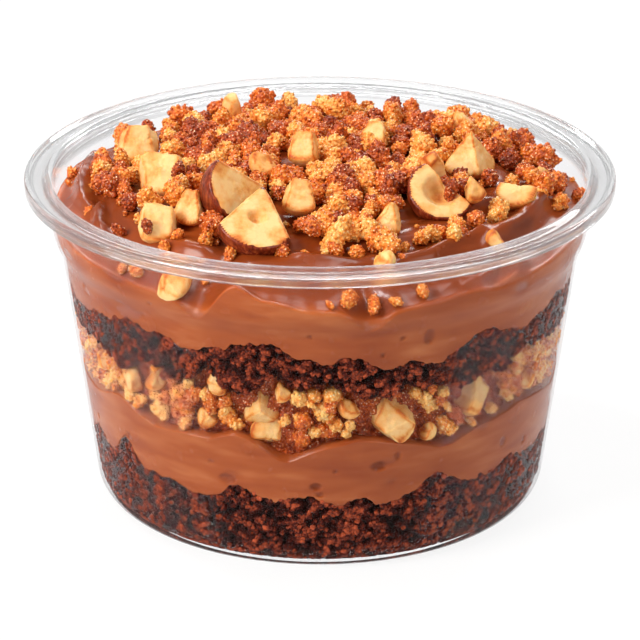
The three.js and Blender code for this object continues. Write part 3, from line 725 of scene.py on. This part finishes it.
class Scatter(Graph):
    """A geometry tree with named inputs, whose result is kept as a plain mesh."""

    def __init__(self, name, inputs):
        tree = bpy.data.node_groups.new(name, "GeometryNodeTree")
        super().__init__(tree)
        tree.interface.new_socket("Geometry", in_out="INPUT", socket_type="NodeSocketGeometry")
        for label, kind in inputs.items():
            tree.interface.new_socket(label, in_out="INPUT", socket_type="NodeSocket" + kind)
        tree.interface.new_socket("Geometry", in_out="OUTPUT", socket_type="NodeSocketGeometry")
        self.source = tree.nodes.new("NodeGroupInput")

    def input(self, label):
        return Wire(self, self.source.outputs[label])

    def finish(self, geometry):
        """Smooth faces and the material, then the tree's output."""
        realized = self.node("GeometryNodeRealizeInstances", {}, {"Geometry": geometry})
        smooth = self.node("GeometryNodeSetShadeSmooth", {}, {"Geometry": realized})
        sockets = {"Geometry": smooth, "Material": self.input("Material")}
        painted = self.node("GeometryNodeSetMaterial", {}, sockets)
        output = self.tree.nodes.new("NodeGroupOutput")
        self.tree.links.new(painted.socket, output.inputs[0])

    def run(self, name, mesh, **values):
        """The tree's result over a mesh, as a new object with a plain mesh."""
        worker = add(name, mesh)
        modifier = worker.modifiers.new("scatter", "NODES")
        modifier.node_group = self.tree
        for item in self.tree.interface.items_tree:
            if item.in_out == "INPUT" and item.name in values:
                modifier[item.identifier] = values[item.name]
        shown = worker.evaluated_get(bpy.context.evaluated_depsgraph_get())
        result = bpy.data.meshes.new_from_object(shown)
        worker.modifiers.clear()
        worker.data = result
        result.name = name
        return worker


def grain_tree():
    """Grains of uneven size strewn over a surface, a set distance apart. Roughen dents them."""
    tree = Scatter("grains_on_surface", {"Spacing": "Float", "Density": "Float", "Smallest": "Float",
                                         "Largest": "Float", "Seed": "Int", "Roughen": "Float",
                                         "Material": "Material"})
    strewn = tree.node("GeometryNodeDistributePointsOnFaces", {"distribute_method": "POISSON"}, {
        "Mesh": tree.input("Geometry"), "Distance Min": tree.input("Spacing"),
        "Density Max": tree.input("Density"), "Seed": tree.input("Seed")})
    size = tree.node("FunctionNodeRandomValue", {"data_type": "FLOAT"}, {
        2: tree.input("Smallest"), 3: tree.input("Largest"), 8: tree.input("Seed")}, out=1)
    turn = tree.node("FunctionNodeRandomValue", {"data_type": "FLOAT_VECTOR"}, {
        0: (0.0, 0.0, 0.0), 1: (math.tau, math.tau, math.tau), 8: tree.input("Seed")}, out=0)
    grain = tree.node("GeometryNodeMeshIcoSphere", {}, {"Radius": 0.5, "Subdivisions": 1})
    placed = tree.node("GeometryNodeInstanceOnPoints", {}, {
        "Points": strewn, "Instance": grain, "Rotation": turn, "Scale": size})
    shade = tree.node("FunctionNodeRandomValue", {"data_type": "FLOAT"}, {2: 0.0, 3: 1.0, 8: 77}, out=1)
    marked = tree.node("GeometryNodeStoreNamedAttribute", {"data_type": "FLOAT", "domain": "INSTANCE"}, {
        "Geometry": placed, "Name": "bead", "Value": shade})
    realized = tree.node("GeometryNodeRealizeInstances", {}, {"Geometry": marked})
    dents = tree.node("ShaderNodeTexNoise", {}, {"Scale": 1400.0, "Detail": 1.0}, out="Color")
    centred = tree.node("ShaderNodeVectorMath", {"operation": "SUBTRACT"}, {0: dents, 1: (0.5, 0.5, 0.5)})
    scaled = {0: centred, "Scale": tree.input("Roughen")}
    moved = tree.node("ShaderNodeVectorMath", {"operation": "SCALE"}, scaled)
    rough = tree.node("GeometryNodeSetPosition", {}, {"Geometry": realized, "Offset": moved})
    tree.finish(rough)
    return tree


def crumb_tree():
    """Whole crumbs at the points of a mesh that holds each one's size, turn, kind and tone."""
    tree = Scatter("crumbs_at_points", {"Shapes": "Collection", "Material": "Material"})
    shapes = tree.node("GeometryNodeCollectionInfo", {}, {
        "Collection": tree.input("Shapes"), "Separate Children": True, "Reset Children": True})

    def named(name, kind):
        return tree.node("GeometryNodeInputNamedAttribute", {"data_type": kind}, {"Name": name})

    placed = tree.node("GeometryNodeInstanceOnPoints", {}, {
        "Points": tree.input("Geometry"), "Instance": shapes, "Pick Instance": True,
        "Instance Index": named("kind", "INT"), "Rotation": named("turn", "FLOAT_VECTOR"),
        "Scale": named("size", "FLOAT_VECTOR")})
    tree.finish(placed)
    return tree


GRAINS = grain_tree()
CRUMBS = crumb_tree()
GOLDEN_ANGLE = 137.508


def icosphere(subdivisions):
    """Unit directions of a fine ball and its triangles."""
    ball = bmesh.new()
    bmesh.ops.create_icosphere(ball, subdivisions=subdivisions, radius=1.0)
    points = np.array([v.co[:] for v in ball.verts])
    faces = [tuple(v.index for v in f.verts) for f in ball.faces]
    ball.free()
    return points, faces


# Shapes of the crumbs, of unit size: their proportions and their lumps.
CRUMB_SHAPES = [
    {"sides": (1.0, 0.85, 0.75), "lumps": 9}, {"sides": (1.25, 0.75, 0.7), "lumps": 11},
    {"sides": (1.0, 0.95, 0.7), "lumps": 8}, {"sides": (1.45, 0.7, 0.65), "lumps": 12},
    {"sides": (0.9, 0.85, 0.85), "lumps": 7}, {"sides": (1.1, 0.9, 0.65), "lumps": 13},
]
# How fine a crumb's core is, and how far apart its beads lie as a share of the crumb's size.
FINE = {"fineness": 3, "spacing": 0.16}
COARSE = {"fineness": 2, "spacing": 0.24}


def stacked(parts):
    """The points and faces of several meshes as those of one."""
    points, faces, start = [], [], 0
    for some, their_faces in parts:
        points.append(some)
        faces += [tuple(start + v for v in face) for face in their_faces]
        start += len(some)
    return np.vstack(points), faces


def join(name, objects):
    """Several meshes as one object. What holds no bead value gets an even one."""
    meshes = [item.data for item in objects]
    points, faces = stacked((mesh_points(mesh), [f.vertices for f in mesh.polygons]) for mesh in meshes)
    beads = []
    for mesh in meshes:
        bead = np.full(len(mesh.vertices), 0.6, np.float32)
        if "bead" in mesh.attributes and mesh.attributes["bead"].domain == "POINT":
            mesh.attributes["bead"].data.foreach_get("value", bead)
        beads.append(bead)
    for item in objects:
        bpy.data.objects.remove(item)
    return new_object(name, points / MM, faces, CRUMBLE, {"bead": np.concatenate(beads)})


def crumb_shape(i, shapes, sides, lumps, fineness, spacing):
    """A cluster of uneven lumps covered with beads, as a template of unit size in a collection of shapes."""
    directions, faces = icosphere(fineness)
    k = np.arange(lumps) + 40 * i
    up = 2 * (np.arange(lumps) + 0.5) / lumps - 1
    turn = np.radians(GOLDEN_ANGLE) * np.arange(lumps) + draw(k, 5)
    flat = np.sqrt(1 - up ** 2)
    centres = np.stack([flat * np.cos(turn), flat * np.sin(turn), up], -1)
    half = 0.75 / np.sqrt(lumps / 12) * (0.7 + 0.6 * draw(k, 6))
    apart = np.arccos(np.clip(directions @ centres.T, -1, 1)) / half
    bulge = (np.sqrt(np.clip(1 - apart ** 2, 0, 1)) * (0.55 + 0.45 * draw(k, 7))).max(axis=1)
    rough = 1 + 0.25 * fractal(directions, 0.9, 2, 11.0 * i) + 0.12 * fractal(directions, 0.3, 2, 3.0 * i)
    points = directions * np.array(sides) * 0.34 * (rough + 0.42 * bulge)[:, None]
    core = new_object("core", points / MM, faces, CRUMBLE)
    beads = GRAINS.run("beads", core.data, Spacing=spacing, Density=900.0, Smallest=spacing * 0.45,
                       Largest=spacing * 1.15, Seed=i, Roughen=0.0, Material=CRUMBLE)
    joined = join("crumb_shape_%02d" % i, [beads, core])
    bpy.context.scene.collection.objects.unlink(joined)
    shapes.objects.link(joined)


for number, shape in enumerate(CRUMB_SHAPES):
    crumb_shape(number, FINE_SHAPES, **shape, **FINE)
    crumb_shape(number + 10, COARSE_SHAPES, **shape, **COARSE)


def crumbs(name, rows, *nodes, shapes=FINE_SHAPES):
    """Crumbs at (x, y, z, size, tone) rows in mm, as one piece, each with a turn and a shape of its own."""
    rows = np.array(rows)
    index = np.arange(len(rows))
    seed = sum(map(ord, name)) % 97
    mesh = bpy.data.meshes.new(name)
    mesh.from_pydata((rows[:, :3] * MM).tolist(), [], [])
    turn = np.stack([draw(index, seed + k) * math.tau for k in (1, 2, 3)], -1)
    size = np.repeat(rows[:, 3:4], 3, axis=1) * MM
    give(mesh, "kind", (draw(index, seed + 4) * len(CRUMB_SHAPES)).astype(int), "INT")
    give(mesh, "turn", turn, "FLOAT_VECTOR")
    give(mesh, "size", size, "FLOAT_VECTOR")
    give(mesh, "tone", rows[:, 4])
    piece = CRUMBS.run(name, mesh, Shapes=shapes, Material=CRUMBLE)
    press_to_wall(piece)
    keep(piece, "caramel_crumble", *nodes)


def press_to_wall(piece):
    """What would stick through the cup is pressed flat against the inside of its wall."""
    points = mesh_points(piece.data).astype(float)
    r = np.hypot(points[:, 0], points[:, 1])
    most = (inner_radius(points[:, 2] / MM) + BITE * 1.3) * MM
    points[:, :2] *= np.minimum(1, most / np.maximum(r, 1e-9))[:, None]
    piece.data.vertices.foreach_set("co", points.reshape(-1))
    piece.data.update()


# ---------------------------------------------------------------------------------------------
# Chopped nuts

# The nuts on the heap: node, centre, size and cuts. A cut is the turn and the rise of the direction it
# faces, and how far from the centre it passes, as a share of the radius.
TOP_NUTS = [
    ("hazelnut_half", (-16.1, -20.8, 69.4), 14.2, [(50, 35, 0.15), (122, 54, 0.5)]),
    ("hazelnut_wedge", (-11.9, -33.8, 68.9), 15.6, [(20, 60, 0.05), (-111, 44, 0.5), (100, 24, 0.5)]),
    ("hazelnut_ring", (23.2, -19.3, 68.8), 13, [(15, 50, 0.1), (125, 30, 0.35)]),
    ("nut_chunk_01", (-30.9, -26.8, 65.8), 9.6,
     [(5, 42, 0.3), (82, 8, 0.62), (-78, 12, 0.62), (170, 40, 0.55)]),
    ("nut_chunk_02", (-24.5, -23, 67.6), 8.6,
     [(-25, 32, 0.25), (68, 18, 0.42), (-115, 20, 0.6), (165, 35, 0.5)]),
    ("nut_chunk_03", (-36.9, 12.3, 68), 10,
     [(10, 35, 0.3), (75, 25, 0.62), (-80, 25, 0.55), (180, 45, 0.55)]),
    ("nut_chunk_04", (-31.2, -7.2, 68.6), 11.5,
     [(-12, 50, 0.28), (70, 8, 0.66), (-75, 5, 0.6), (165, 25, 0.5)]),
    ("nut_chunk_05", (29.9, 1.3, 70), 12.6,
     [(-35, 28, 0.3), (65, 28, 0.3), (155, 28, 0.35), (-125, 28, 0.35)]),
    ("nut_chunk_06", (-3.2, 1.3, 71), 8.4,
     [(-12, 45, 0.35), (80, 12, 0.55), (-90, 15, 0.6), (180, 35, 0.55)]),
    ("nut_chunk_07", (-4, -23.5, 70), 8.6,
     [(15, 42, 0.3), (95, 12, 0.6), (-85, 22, 0.5), (180, 40, 0.6)]),
    ("nut_chunk_08", (13.2, -30.1, 67.4), 6.6, [(-22, 22, 0.15), (75, 15, 0.4), (-95, 35, 0.5)]),
    ("nut_chunk_09", (38.3, -12, 66.2), 8, [(-20, 60, 0.15), (160, 10, 0.3)]),
]
HOLLOWS = {"hazelnut_wedge": 1.3, "hazelnut_ring": 2.6}  # radius of the hollow in the first cut
# The nuts that press against the wall in the nut crumble: angle and height of the centre, size and cuts.
WALL_NUTS = [
    ("filling_nut_01", (-14.3, 35.4), 9, [(-50, 22, 0.3), (60, 28, 0.4), (0, -35, 0.6)]),
    ("filling_nut_02", (-11.6, 29.2), 8.5, [(5, 10, 0.42), (0, -60, 0.4), (80, -10, 0.45)]),
    ("filling_nut_03", (16.7, 32.6), 12,
     [(-12, 12, 0.42), (-85, 30, 0.5), (50, 45, 0.5), (110, -15, 0.6), (-70, -45, 0.55)]),
    ("filling_nut_04", (40, 34.2), 10.5, [(10, 15, 0.45), (-70, 30, 0.5), (80, 35, 0.5), (60, -35, 0.6)]),
]
WALL_NUT_DEPTH = 3.2  # from the wall to the middle of such a nut
CHAMFERS = 4  # small further cuts on the edges of each nut
SOFT_CORNERS = 0.28  # mm by which a nut's corners are rounded
EDGE_BAND = 0.5  # mm from a nut's edges over which it is browner
SKIN_DEPTH = 0.5  # mm under the kernel's round surface down to which its skin shows


def facing(turn, rise):
    """The unit vector with that turn from the front and that rise."""
    t, r = math.radians(turn), math.radians(rise)
    return np.array([math.sin(t) * math.cos(r), -math.cos(t) * math.cos(r), math.sin(r)])


def chamfers(cuts, seed):
    """Small cuts that break the sharp edges between a nut's cuts, and between them and its round side."""
    normals = [facing(turn, rise) for turn, rise, _ in cuts]
    more = []
    for k in range(CHAMFERS):
        a, b = k % len(cuts), (k + 1) % len(cuts)
        share = 0.4 + 0.8 * float(draw(k, seed))
        way = normals[a] + share * normals[b] + 0.5 * (draw(np.arange(3), seed + k) - 0.5)
        way = way / np.linalg.norm(way)
        turn = math.degrees(math.atan2(way[0], -way[1]))
        rise = math.degrees(math.asin(way[2]))
        more.append((turn, rise, max(cuts[a][2], cuts[b][2]) + 0.22 + 0.1 * float(draw(k, seed + 1))))
    return more


def inside_point(planes, radius):
    """A point well behind all of the planes, which are given by their normals and distances."""
    point = np.zeros(3)
    for _ in range(30):
        for normal, distance in planes:
            over = point @ normal - (distance - 0.22 * radius)
            if over > 0:
                point = point - normal * over
    return point


def nut_surface(size, cuts, hollow, fineness, seed, roughness=1.0):
    """Points, faces, skin and brown tone of a chopped kernel about the origin, in mm; the brown tone holds
    painted shade in the hollow. Every point lies close to where a ray from inside the nut first meets the
    kernel's round surface or one of the cuts."""
    directions, faces = icosphere(fineness)
    radius = size / 2
    cuts = cuts + chamfers(cuts, seed)
    planes = [(facing(turn, rise), distance * radius) for turn, rise, distance in cuts]
    start = inside_point(planes, radius)
    along = directions @ start
    ball = -along + np.sqrt(along ** 2 - start @ start + radius ** 2)
    reaches = [ball]
    for normal, distance in planes:
        slant = directions @ normal
        cut = (distance - start @ normal) / np.maximum(slant, 1e-6)
        reaches.append(np.where(slant > 0, cut, 1e6))
    reach, next_reach = np.sort(np.stack(reaches), axis=0)[:2]
    edge = np.exp(-((next_reach - reach) / EDGE_BAND) ** 2)
    softened = reach - SOFT_CORNERS * np.log(np.exp((reach - np.stack(reaches)) / SOFT_CORNERS).sum(axis=0))
    points = start + directions * softened[:, None]
    skin = np.clip(1 - (ball - reach) / SKIN_DEPTH, 0, 1)
    rough = fractal(points, 2.6, 3, seed) * 0.32 + fractal(points, 0.9, 3, seed + 3) * 0.26 * (0.5 + edge)
    points = points + directions * (rough * roughness * (1 - 0.6 * skin))[:, None]
    roast = np.clip(0.12 + 0.55 * fractal(points, 4.5, 2, seed + 8) + 0.5 * edge + 0.2 * skin, 0, 1)
    if hollow:
        normal = planes[0][0]
        centre = normal * planes[0][1]
        apart = np.linalg.norm(points - centre, axis=1)
        dip = np.exp(-((apart / (hollow * 1.1)) ** 4))
        points = points - normal * (dip * hollow * 1.1)[:, None]
        # Painted shade darkens the hollow.
        roast = np.maximum(roast, 0.7 * np.exp(-((apart / (hollow * 0.7)) ** 2)))
    return points, faces, skin, roast


def nut_piece(node, centre, size, cuts, turn=0.0):
    """The nut that stands for a node. The hazelnuts have their skin and a finer mesh, the chunks a trace of
    skin and a rougher surface."""
    seed = 13.0 + sum(map(ord, node)) % 50
    skinned = node.startswith("hazelnut")
    fineness, roughness, husk = (6, 0.5, 1.0) if skinned else (5, 1.0, 0.35)
    points, faces, skin, roast = nut_surface(size, cuts, HOLLOWS.get(node, 0), fineness, seed, roughness)
    if turn:
        a = math.radians(turn)
        spin = np.array([[math.cos(a), -math.sin(a), 0], [math.sin(a), math.cos(a), 0], [0, 0, 1]])
        points = points @ spin.T
    piece = new_object(node + "_chopped", points + centre, faces, NUT, {"skin": skin * husk, "roast": roast})
    press_to_wall(piece)
    keep(piece, "hazelnut", node)


for node, centre, size, cuts in TOP_NUTS:
    nut_piece(node, centre, size, cuts)
for node, (angle, z), size, cuts in WALL_NUTS:
    nut_piece(node, wall_spot(angle, z, WALL_NUT_DEPTH), size, cuts, turn=angle)

# ---------------------------------------------------------------------------------------------
# Crumbs on top

HEAP_CRUMBS = 350
HEAP_SIZE = 4.2  # of its smallest crumbs
HEAP_SPREAD = 3.2  # how much larger the largest are
TINY_CRUMBS = 170
TINY_SIZE = 1.1
TINY_SPREAD = 1.7
# Crumbs that lie loose on the bare cream: x, y, size, tone.
STRAYS = [
    (-50.2, 12.7, 3.2, 0.45), (-40.8, -7.8, 5.1, 0.5), (-42.6, -1.1, 5.5, 0.6), (-38.4, -23.5, 3.5, 0.7),
    (-29.4, -32.7, 3.4, 0.4), (-27, -30.7, 3.4, 0.45), (-21.6, -33.5, 3.8, 0.4), (-16.9, -38.5, 3.4, 0.45),
    (-7.3, -38.6, 3.4, 0.5), (-20, -28.2, 3.4, 0.4), (2.8, -37.3, 4.1, 0.5), (6.9, -37.7, 3.8, 0.4),
    (10.3, -35.7, 3.8, 0.5), (16, -35.1, 2.6, 0.4), (22.7, -29.7, 4.6, 0.5), (27.1, -29.9, 4.2, 0.55),
    (18.9, -31.3, 2.7, 0.4), (51.7, 0.2, 4, 0.6), (47.9, 3.7, 4.8, 0.65), (-37.4, -35.2, 2.6, 0.4),
    (-34.5, -37.5, 3.4, 0.3), (-24.7, -41.9, 2.2, 0.4), (-21.5, -41.8, 1.9, 0.4), (5.5, -49.5, 4.1, 0.4),
    (43.3, -7.8, 3.4, 0.25), (47.4, -6.6, 4.4, 0.4), (1.1, -32.6, 4.8, 0.25), (8.4, -31.2, 5.6, 0.3),
    (10, -48.8, 4.1, 0.45), (1.8, -51, 1.8, 0.4), (14, -49.1, 2.6, 0.35), (19.1, -46.8, 3.3, 0.4),
]
# Dark crumbs that lie on the nuts: x, y, z, size, tone.
ON_NUTS = [(25.2, -19.5, 69.0, 4.0, 0.86), (-32.8, -30.4, 66.0, 3.4, 0.8), (-27.5, -11.5, 70.5, 3.8, 0.84)]
# Smaller nut bits: x, y, size.
NUT_BITS = [
    (-10.8, -6.8, 5.5), (43.4, 1.3, 4.2), (11.2, 10.4, 5.6), (-17.8, 32.4, 5.4), (29.4, -18.7, 5.2),
    (29.1, 24.7, 4.4), (11.7, -41.3, 4.5), (33.6, -29.9, 4.2), (-28, -42.9, 7.0), (22.4, -8.7, 5.8),
]
# How far the heap reaches from the axis: angle, radius.
HEAP_OUTLINE = [
    (-180, 50), (-160, 50), (-138, 50.5), (-102, 50), (-79, 46), (-67, 43), (-57, 42), (-40, 40), (-19, 39),
    (0, 38), (8, 38.6), (15, 42), (27, 41), (40, 44), (54, 42.5), (68, 44), (75, 48), (87, 50), (106, 50.5),
    (140, 50), (180, 50),
]
# The pieces that the crumbs on top are kept in: the lowest tone in each and the tone it ends before.
TONES = {"golden": (0.0, 0.34), "caramel": (0.34, 0.56), "russet": (0.56, 1.01)}


def heap_reach(angle):
    return float(np.interp((angle + 180) % 360 - 180, *zip(*HEAP_OUTLINE)))


def clear_of_nuts(x, y, z, size, margin):
    """Whether a crumb's centre lies further from every nut than that share of its size."""
    return min(math.dist((x, y, z), nut[1]) - nut[2] / 2 for nut in TOP_NUTS) > size * margin


def heap_rows():
    """Crumbs in a sunflower spiral over the heap, clear of the nuts, each with its own size and tone."""
    rows = []
    for i in range(HEAP_CRUMBS):
        angle = (i * GOLDEN_ANGLE) % 360
        size = float(HEAP_SIZE + HEAP_SPREAD * draw(i, 62) ** 1.5)
        reach = heap_reach(angle) - size / 2
        r = float(reach * math.sqrt((i + 0.5) / HEAP_CRUMBS) + 2.2 * (draw(i, 61) - 0.5))
        x, y, _ = around(angle, r, 0)
        z = float(cream_above(x, y)) + size * 0.3 + 1.3 * float(draw(i, 63)) ** 2
        if clear_of_nuts(x, y, z, size, 0.32):
            rows.append((x, y, z, size, float(0.1 + 0.72 * draw(i, 64) ** 1.1)))
    return rows


def tiny_rows():
    """Small bits strewn among the crumbs and a little beyond them."""
    rows = []
    for i in range(TINY_CRUMBS):
        angle = 360 * float(draw(i, 71))
        r = heap_reach(angle) * 1.04 * math.sqrt(float(draw(i, 72)))
        size = float(TINY_SIZE + TINY_SPREAD * draw(i, 73) ** 2)
        x, y, _ = around(angle, r, 0)
        z = float(cream_above(x, y)) + size * 0.25
        if clear_of_nuts(x, y, z, size, 0.0):
            rows.append((x, y, z, size, float(0.1 + 0.7 * draw(i, 74))))
    return rows


def stray_rows():
    rows = [(x, y, float(cream_above(x, y)) + size * 0.28, size, tone) for x, y, size, tone in STRAYS]
    return rows + ON_NUTS


heap = heap_rows() + stray_rows()
for word, (low, high) in TONES.items():
    nodes = ["crumble_heap"] if word == "caramel" else []
    crumbs("crumbs_on_top_" + word, [row for row in heap if low <= row[4] < high], *nodes)
crumbs("crumb_bits_on_top", tiny_rows(), shapes=COARSE_SHAPES)


def bit_cuts(i):
    """The cuts of nut bit i."""
    cuts = []
    for k in range(i * 5, i * 5 + 5):
        turn, rise, distance = (float(draw(k, use)) for use in (90, 91, 92))
        cuts.append((360 * turn, -20 + 70 * rise, 0.35 + 0.3 * distance))
    return cuts


def nut_bits(name, rows):
    """Small chopped nuts at (x, y, z, size) in mm, as one piece."""
    parts, brown_tones_and_shades = [], []
    for i, (x, y, z, size) in enumerate(rows):
        shape, triangles, _, roast = nut_surface(size * 1.15, bit_cuts(i), 0, 4, 5.0 * i)
        parts.append((shape + (x, y, z), triangles))
        brown_tones_and_shades.append(roast)
    points, faces = stacked(parts)
    values = {"skin": np.zeros(len(points)), "roast": np.concatenate(brown_tones_and_shades)}
    made = new_object(name, points, faces, NUT, values)
    press_to_wall(made)
    keep(made, "hazelnut")


def bits_on_top():
    """The nut bits on the cream, and those on the heap, which lie higher."""
    rows = []
    for x, y, size in NUT_BITS:
        lift = 3 if math.hypot(x, y) < 40 else 0
        rows.append((x, y, float(cream_above(x, y)) + size * 0.3 + lift, size))
    return rows


nut_bits("nut_bits_on_top", bits_on_top())

# ---------------------------------------------------------------------------------------------
# Crumbs in the filling, along the wall

FILLING_ROWS = 6
FILLING_RADIUS = 48  # of the wall there, which gives how many crumbs a row holds
FILLING_PITCH = 3.7  # between the crumbs of a row
FILLING_SIZE = 2.4
FILLING_SPREAD = 2.8
# Smaller nuts at the wall: angle, height, size.
FILLING_BITS = [
    (6.8, 35.8, 4.8), (-42.1, 36.5, 5), (-23.9, 39.2, 5.2), (-49.7, 34.3, 5.2), (-8.8, 39.2, 4.7),
    (-27.5, 31.2, 4.6), (25.8, 28.8, 4.3), (-62, 35, 4.6), (58, 32.5, 5), (70, 35, 4.4), (96, 34, 6),
    (128, 33, 7), (152, 35, 5), (175, 32, 6.5), (203, 35, 5.5), (231, 32, 7), (262, 35, 5.5),
]
FILLING_TONES = {"golden": (0.0, 0.28), "caramel": (0.28, 1.01)}


def filling_rows():
    """Crumbs in rows along the wall, from one edge of the filling to the other, clear of its nuts."""
    rows = []
    spots = [(wall_spot(a, z, WALL_NUT_DEPTH), size) for _, (a, z), size, _ in WALL_NUTS]
    spots += [(wall_spot(a, z, size * 0.35), size) for a, z, size in FILLING_BITS]
    around_wall = int(math.tau * FILLING_RADIUS / FILLING_PITCH)
    for k in range(FILLING_ROWS * around_wall):
        ring, i = divmod(k, around_wall)
        angle = 360 * (i + 0.5 * (ring % 2) + 0.6 * float(draw(k, 31))) / around_wall
        size = float(FILLING_SIZE + FILLING_SPREAD * draw(k, 32) ** 1.4)
        low = float(edge_height(EDGES["lower_cream_top"], angle)) + size * 0.36
        high = float(edge_height(EDGES["crumble_top"], angle)) - size * 0.25
        share = (ring + 0.5 + 0.7 * (float(draw(k, 33)) - 0.5)) / FILLING_ROWS
        x, y, z = wall_spot(angle, low + (high - low) * share, size * (0.3 + 0.2 * float(draw(k, 34))))
        if min(math.dist((x, y, z), spot) - s / 2 for spot, s in spots) > size * 0.2:
            rows.append((x, y, z, size, float(0.62 * draw(k, 35) ** 1.3)))
    return rows


filling = filling_rows()
for word, (low, high) in FILLING_TONES.items():
    chosen = [row for row in filling if low <= row[4] < high]
    crumbs("filling_crumbs_" + word, chosen, shapes=COARSE_SHAPES)
nut_bits("nut_bits_in_filling", [(*wall_spot(a, z, size * 0.35), size * 0.85) for a, z, size in FILLING_BITS])

# ---------------------------------------------------------------------------------------------
# Loose grains of the sponges

def side_only(source, name):
    """The part of a layer's surface that faces the wall, to strew grains over."""
    mesh = source.data
    points = mesh_points(mesh).astype(float) / MM
    near = np.hypot(points[:, 0], points[:, 1]) > inner_radius(points[:, 2]) - 3.0
    faces = [tuple(f.vertices) for f in mesh.polygons if all(near[v] for v in f.vertices)]
    made = bpy.data.meshes.new(name)
    made.from_pydata((points * MM).tolist(), [], faces)
    # The depth goes along to the grains, for the painted shade of those deep in the pores.
    depth = np.empty(len(points), np.float32)
    mesh.attributes["depth"].data.foreach_get("value", depth)
    give(made, "depth", depth)
    return made


def sponge_grains(layer_name, seed):
    """Grains strewn over a sponge's side. Their sizes are in metres, as the tree takes them."""
    side = side_only(bpy.data.objects[layer_name], "side")
    piece = GRAINS.run(layer_name.replace("layer", "grains"), side, Spacing=0.00072, Density=6e6,
                       Smallest=0.0005, Largest=0.0013, Seed=seed, Roughen=0.0008, Material=SPONGE)
    press_to_wall(piece)
    keep(piece, "chocolate_sponge")


sponge_grains("lower_sponge_layer", 5)
sponge_grains("upper_sponge_layer", 6)

# ---------------------------------------------------------------------------------------------
# Table, light and camera, placed in metres

TABLE_REACH = 4.0
WORLD_LIGHT = 0.28
LAMP_AIM = (0, 0, 0.04)
WARM = (1, 0.95, 0.89)
CAMERA_AT = (0, -0.5992, 0.2819)
CAMERA_AIM = (0, 0, 0.0341)
CAMERA_LENS = 180.6
SENSOR = 36


def table():
    corners = [(x * TABLE_REACH, y * TABLE_REACH, 0) for x, y in ((-1, -1), (1, -1), (1, 1), (-1, 1))]
    mesh = bpy.data.meshes.new("table")
    mesh.from_pydata(corners, [], [(0, 1, 2, 3)])
    mesh.materials.append(table_top())
    add("table", mesh)


def face(made, at, aim):
    """Puts a lamp or the camera at a point, turned to another."""
    made.location = at
    made.rotation_euler = (Vector(aim) - Vector(at)).to_track_quat("-Z", "Y").to_euler()


def lamp(name, at, size, watts, colour=(1, 1, 1)):
    """A softbox at a point, turned to the cake."""
    data = bpy.data.lights.new(name, "AREA")
    data.shape = "RECTANGLE"
    data.size, data.size_y = size
    data.energy = watts
    data.color = colour
    face(add(name, data), at, LAMP_AIM)


def camera():
    data = bpy.data.cameras.new("camera")
    data.lens = CAMERA_LENS
    data.sensor_width = SENSOR
    data.clip_start = 0.01
    data.clip_end = 20
    made = add("camera", data)
    face(made, CAMERA_AT, CAMERA_AIM)
    bpy.context.scene.camera = made


def surroundings():
    world = bpy.data.worlds.new("studio")
    world.use_nodes = True
    background = world.node_tree.nodes["Background"].inputs
    background["Color"].default_value = (1, 1, 1, 1)
    background["Strength"].default_value = WORLD_LIGHT
    bpy.context.scene.world = world


table()
lamp("key_softbox", (-0.62, -0.42, 0.52), (0.36, 0.36), 8.0, WARM)
lamp("top_softbox", (0.15, 0.0, 0.9), (0.5, 0.14), 2.0)
lamp("fill_softbox", (0.6, -0.55, 0.45), (0.3, 0.3), 1.6, WARM)
lamp("sparkle_lamp", (-0.3, 0.1, 0.8), (0.05, 0.05), 1.6)
lamp("back_softbox", (0.2, 0.85, 0.62), (0.9, 0.14), 4.5)
surroundings()
camera()
bpy.context.scene.view_settings.view_transform = "Standard"
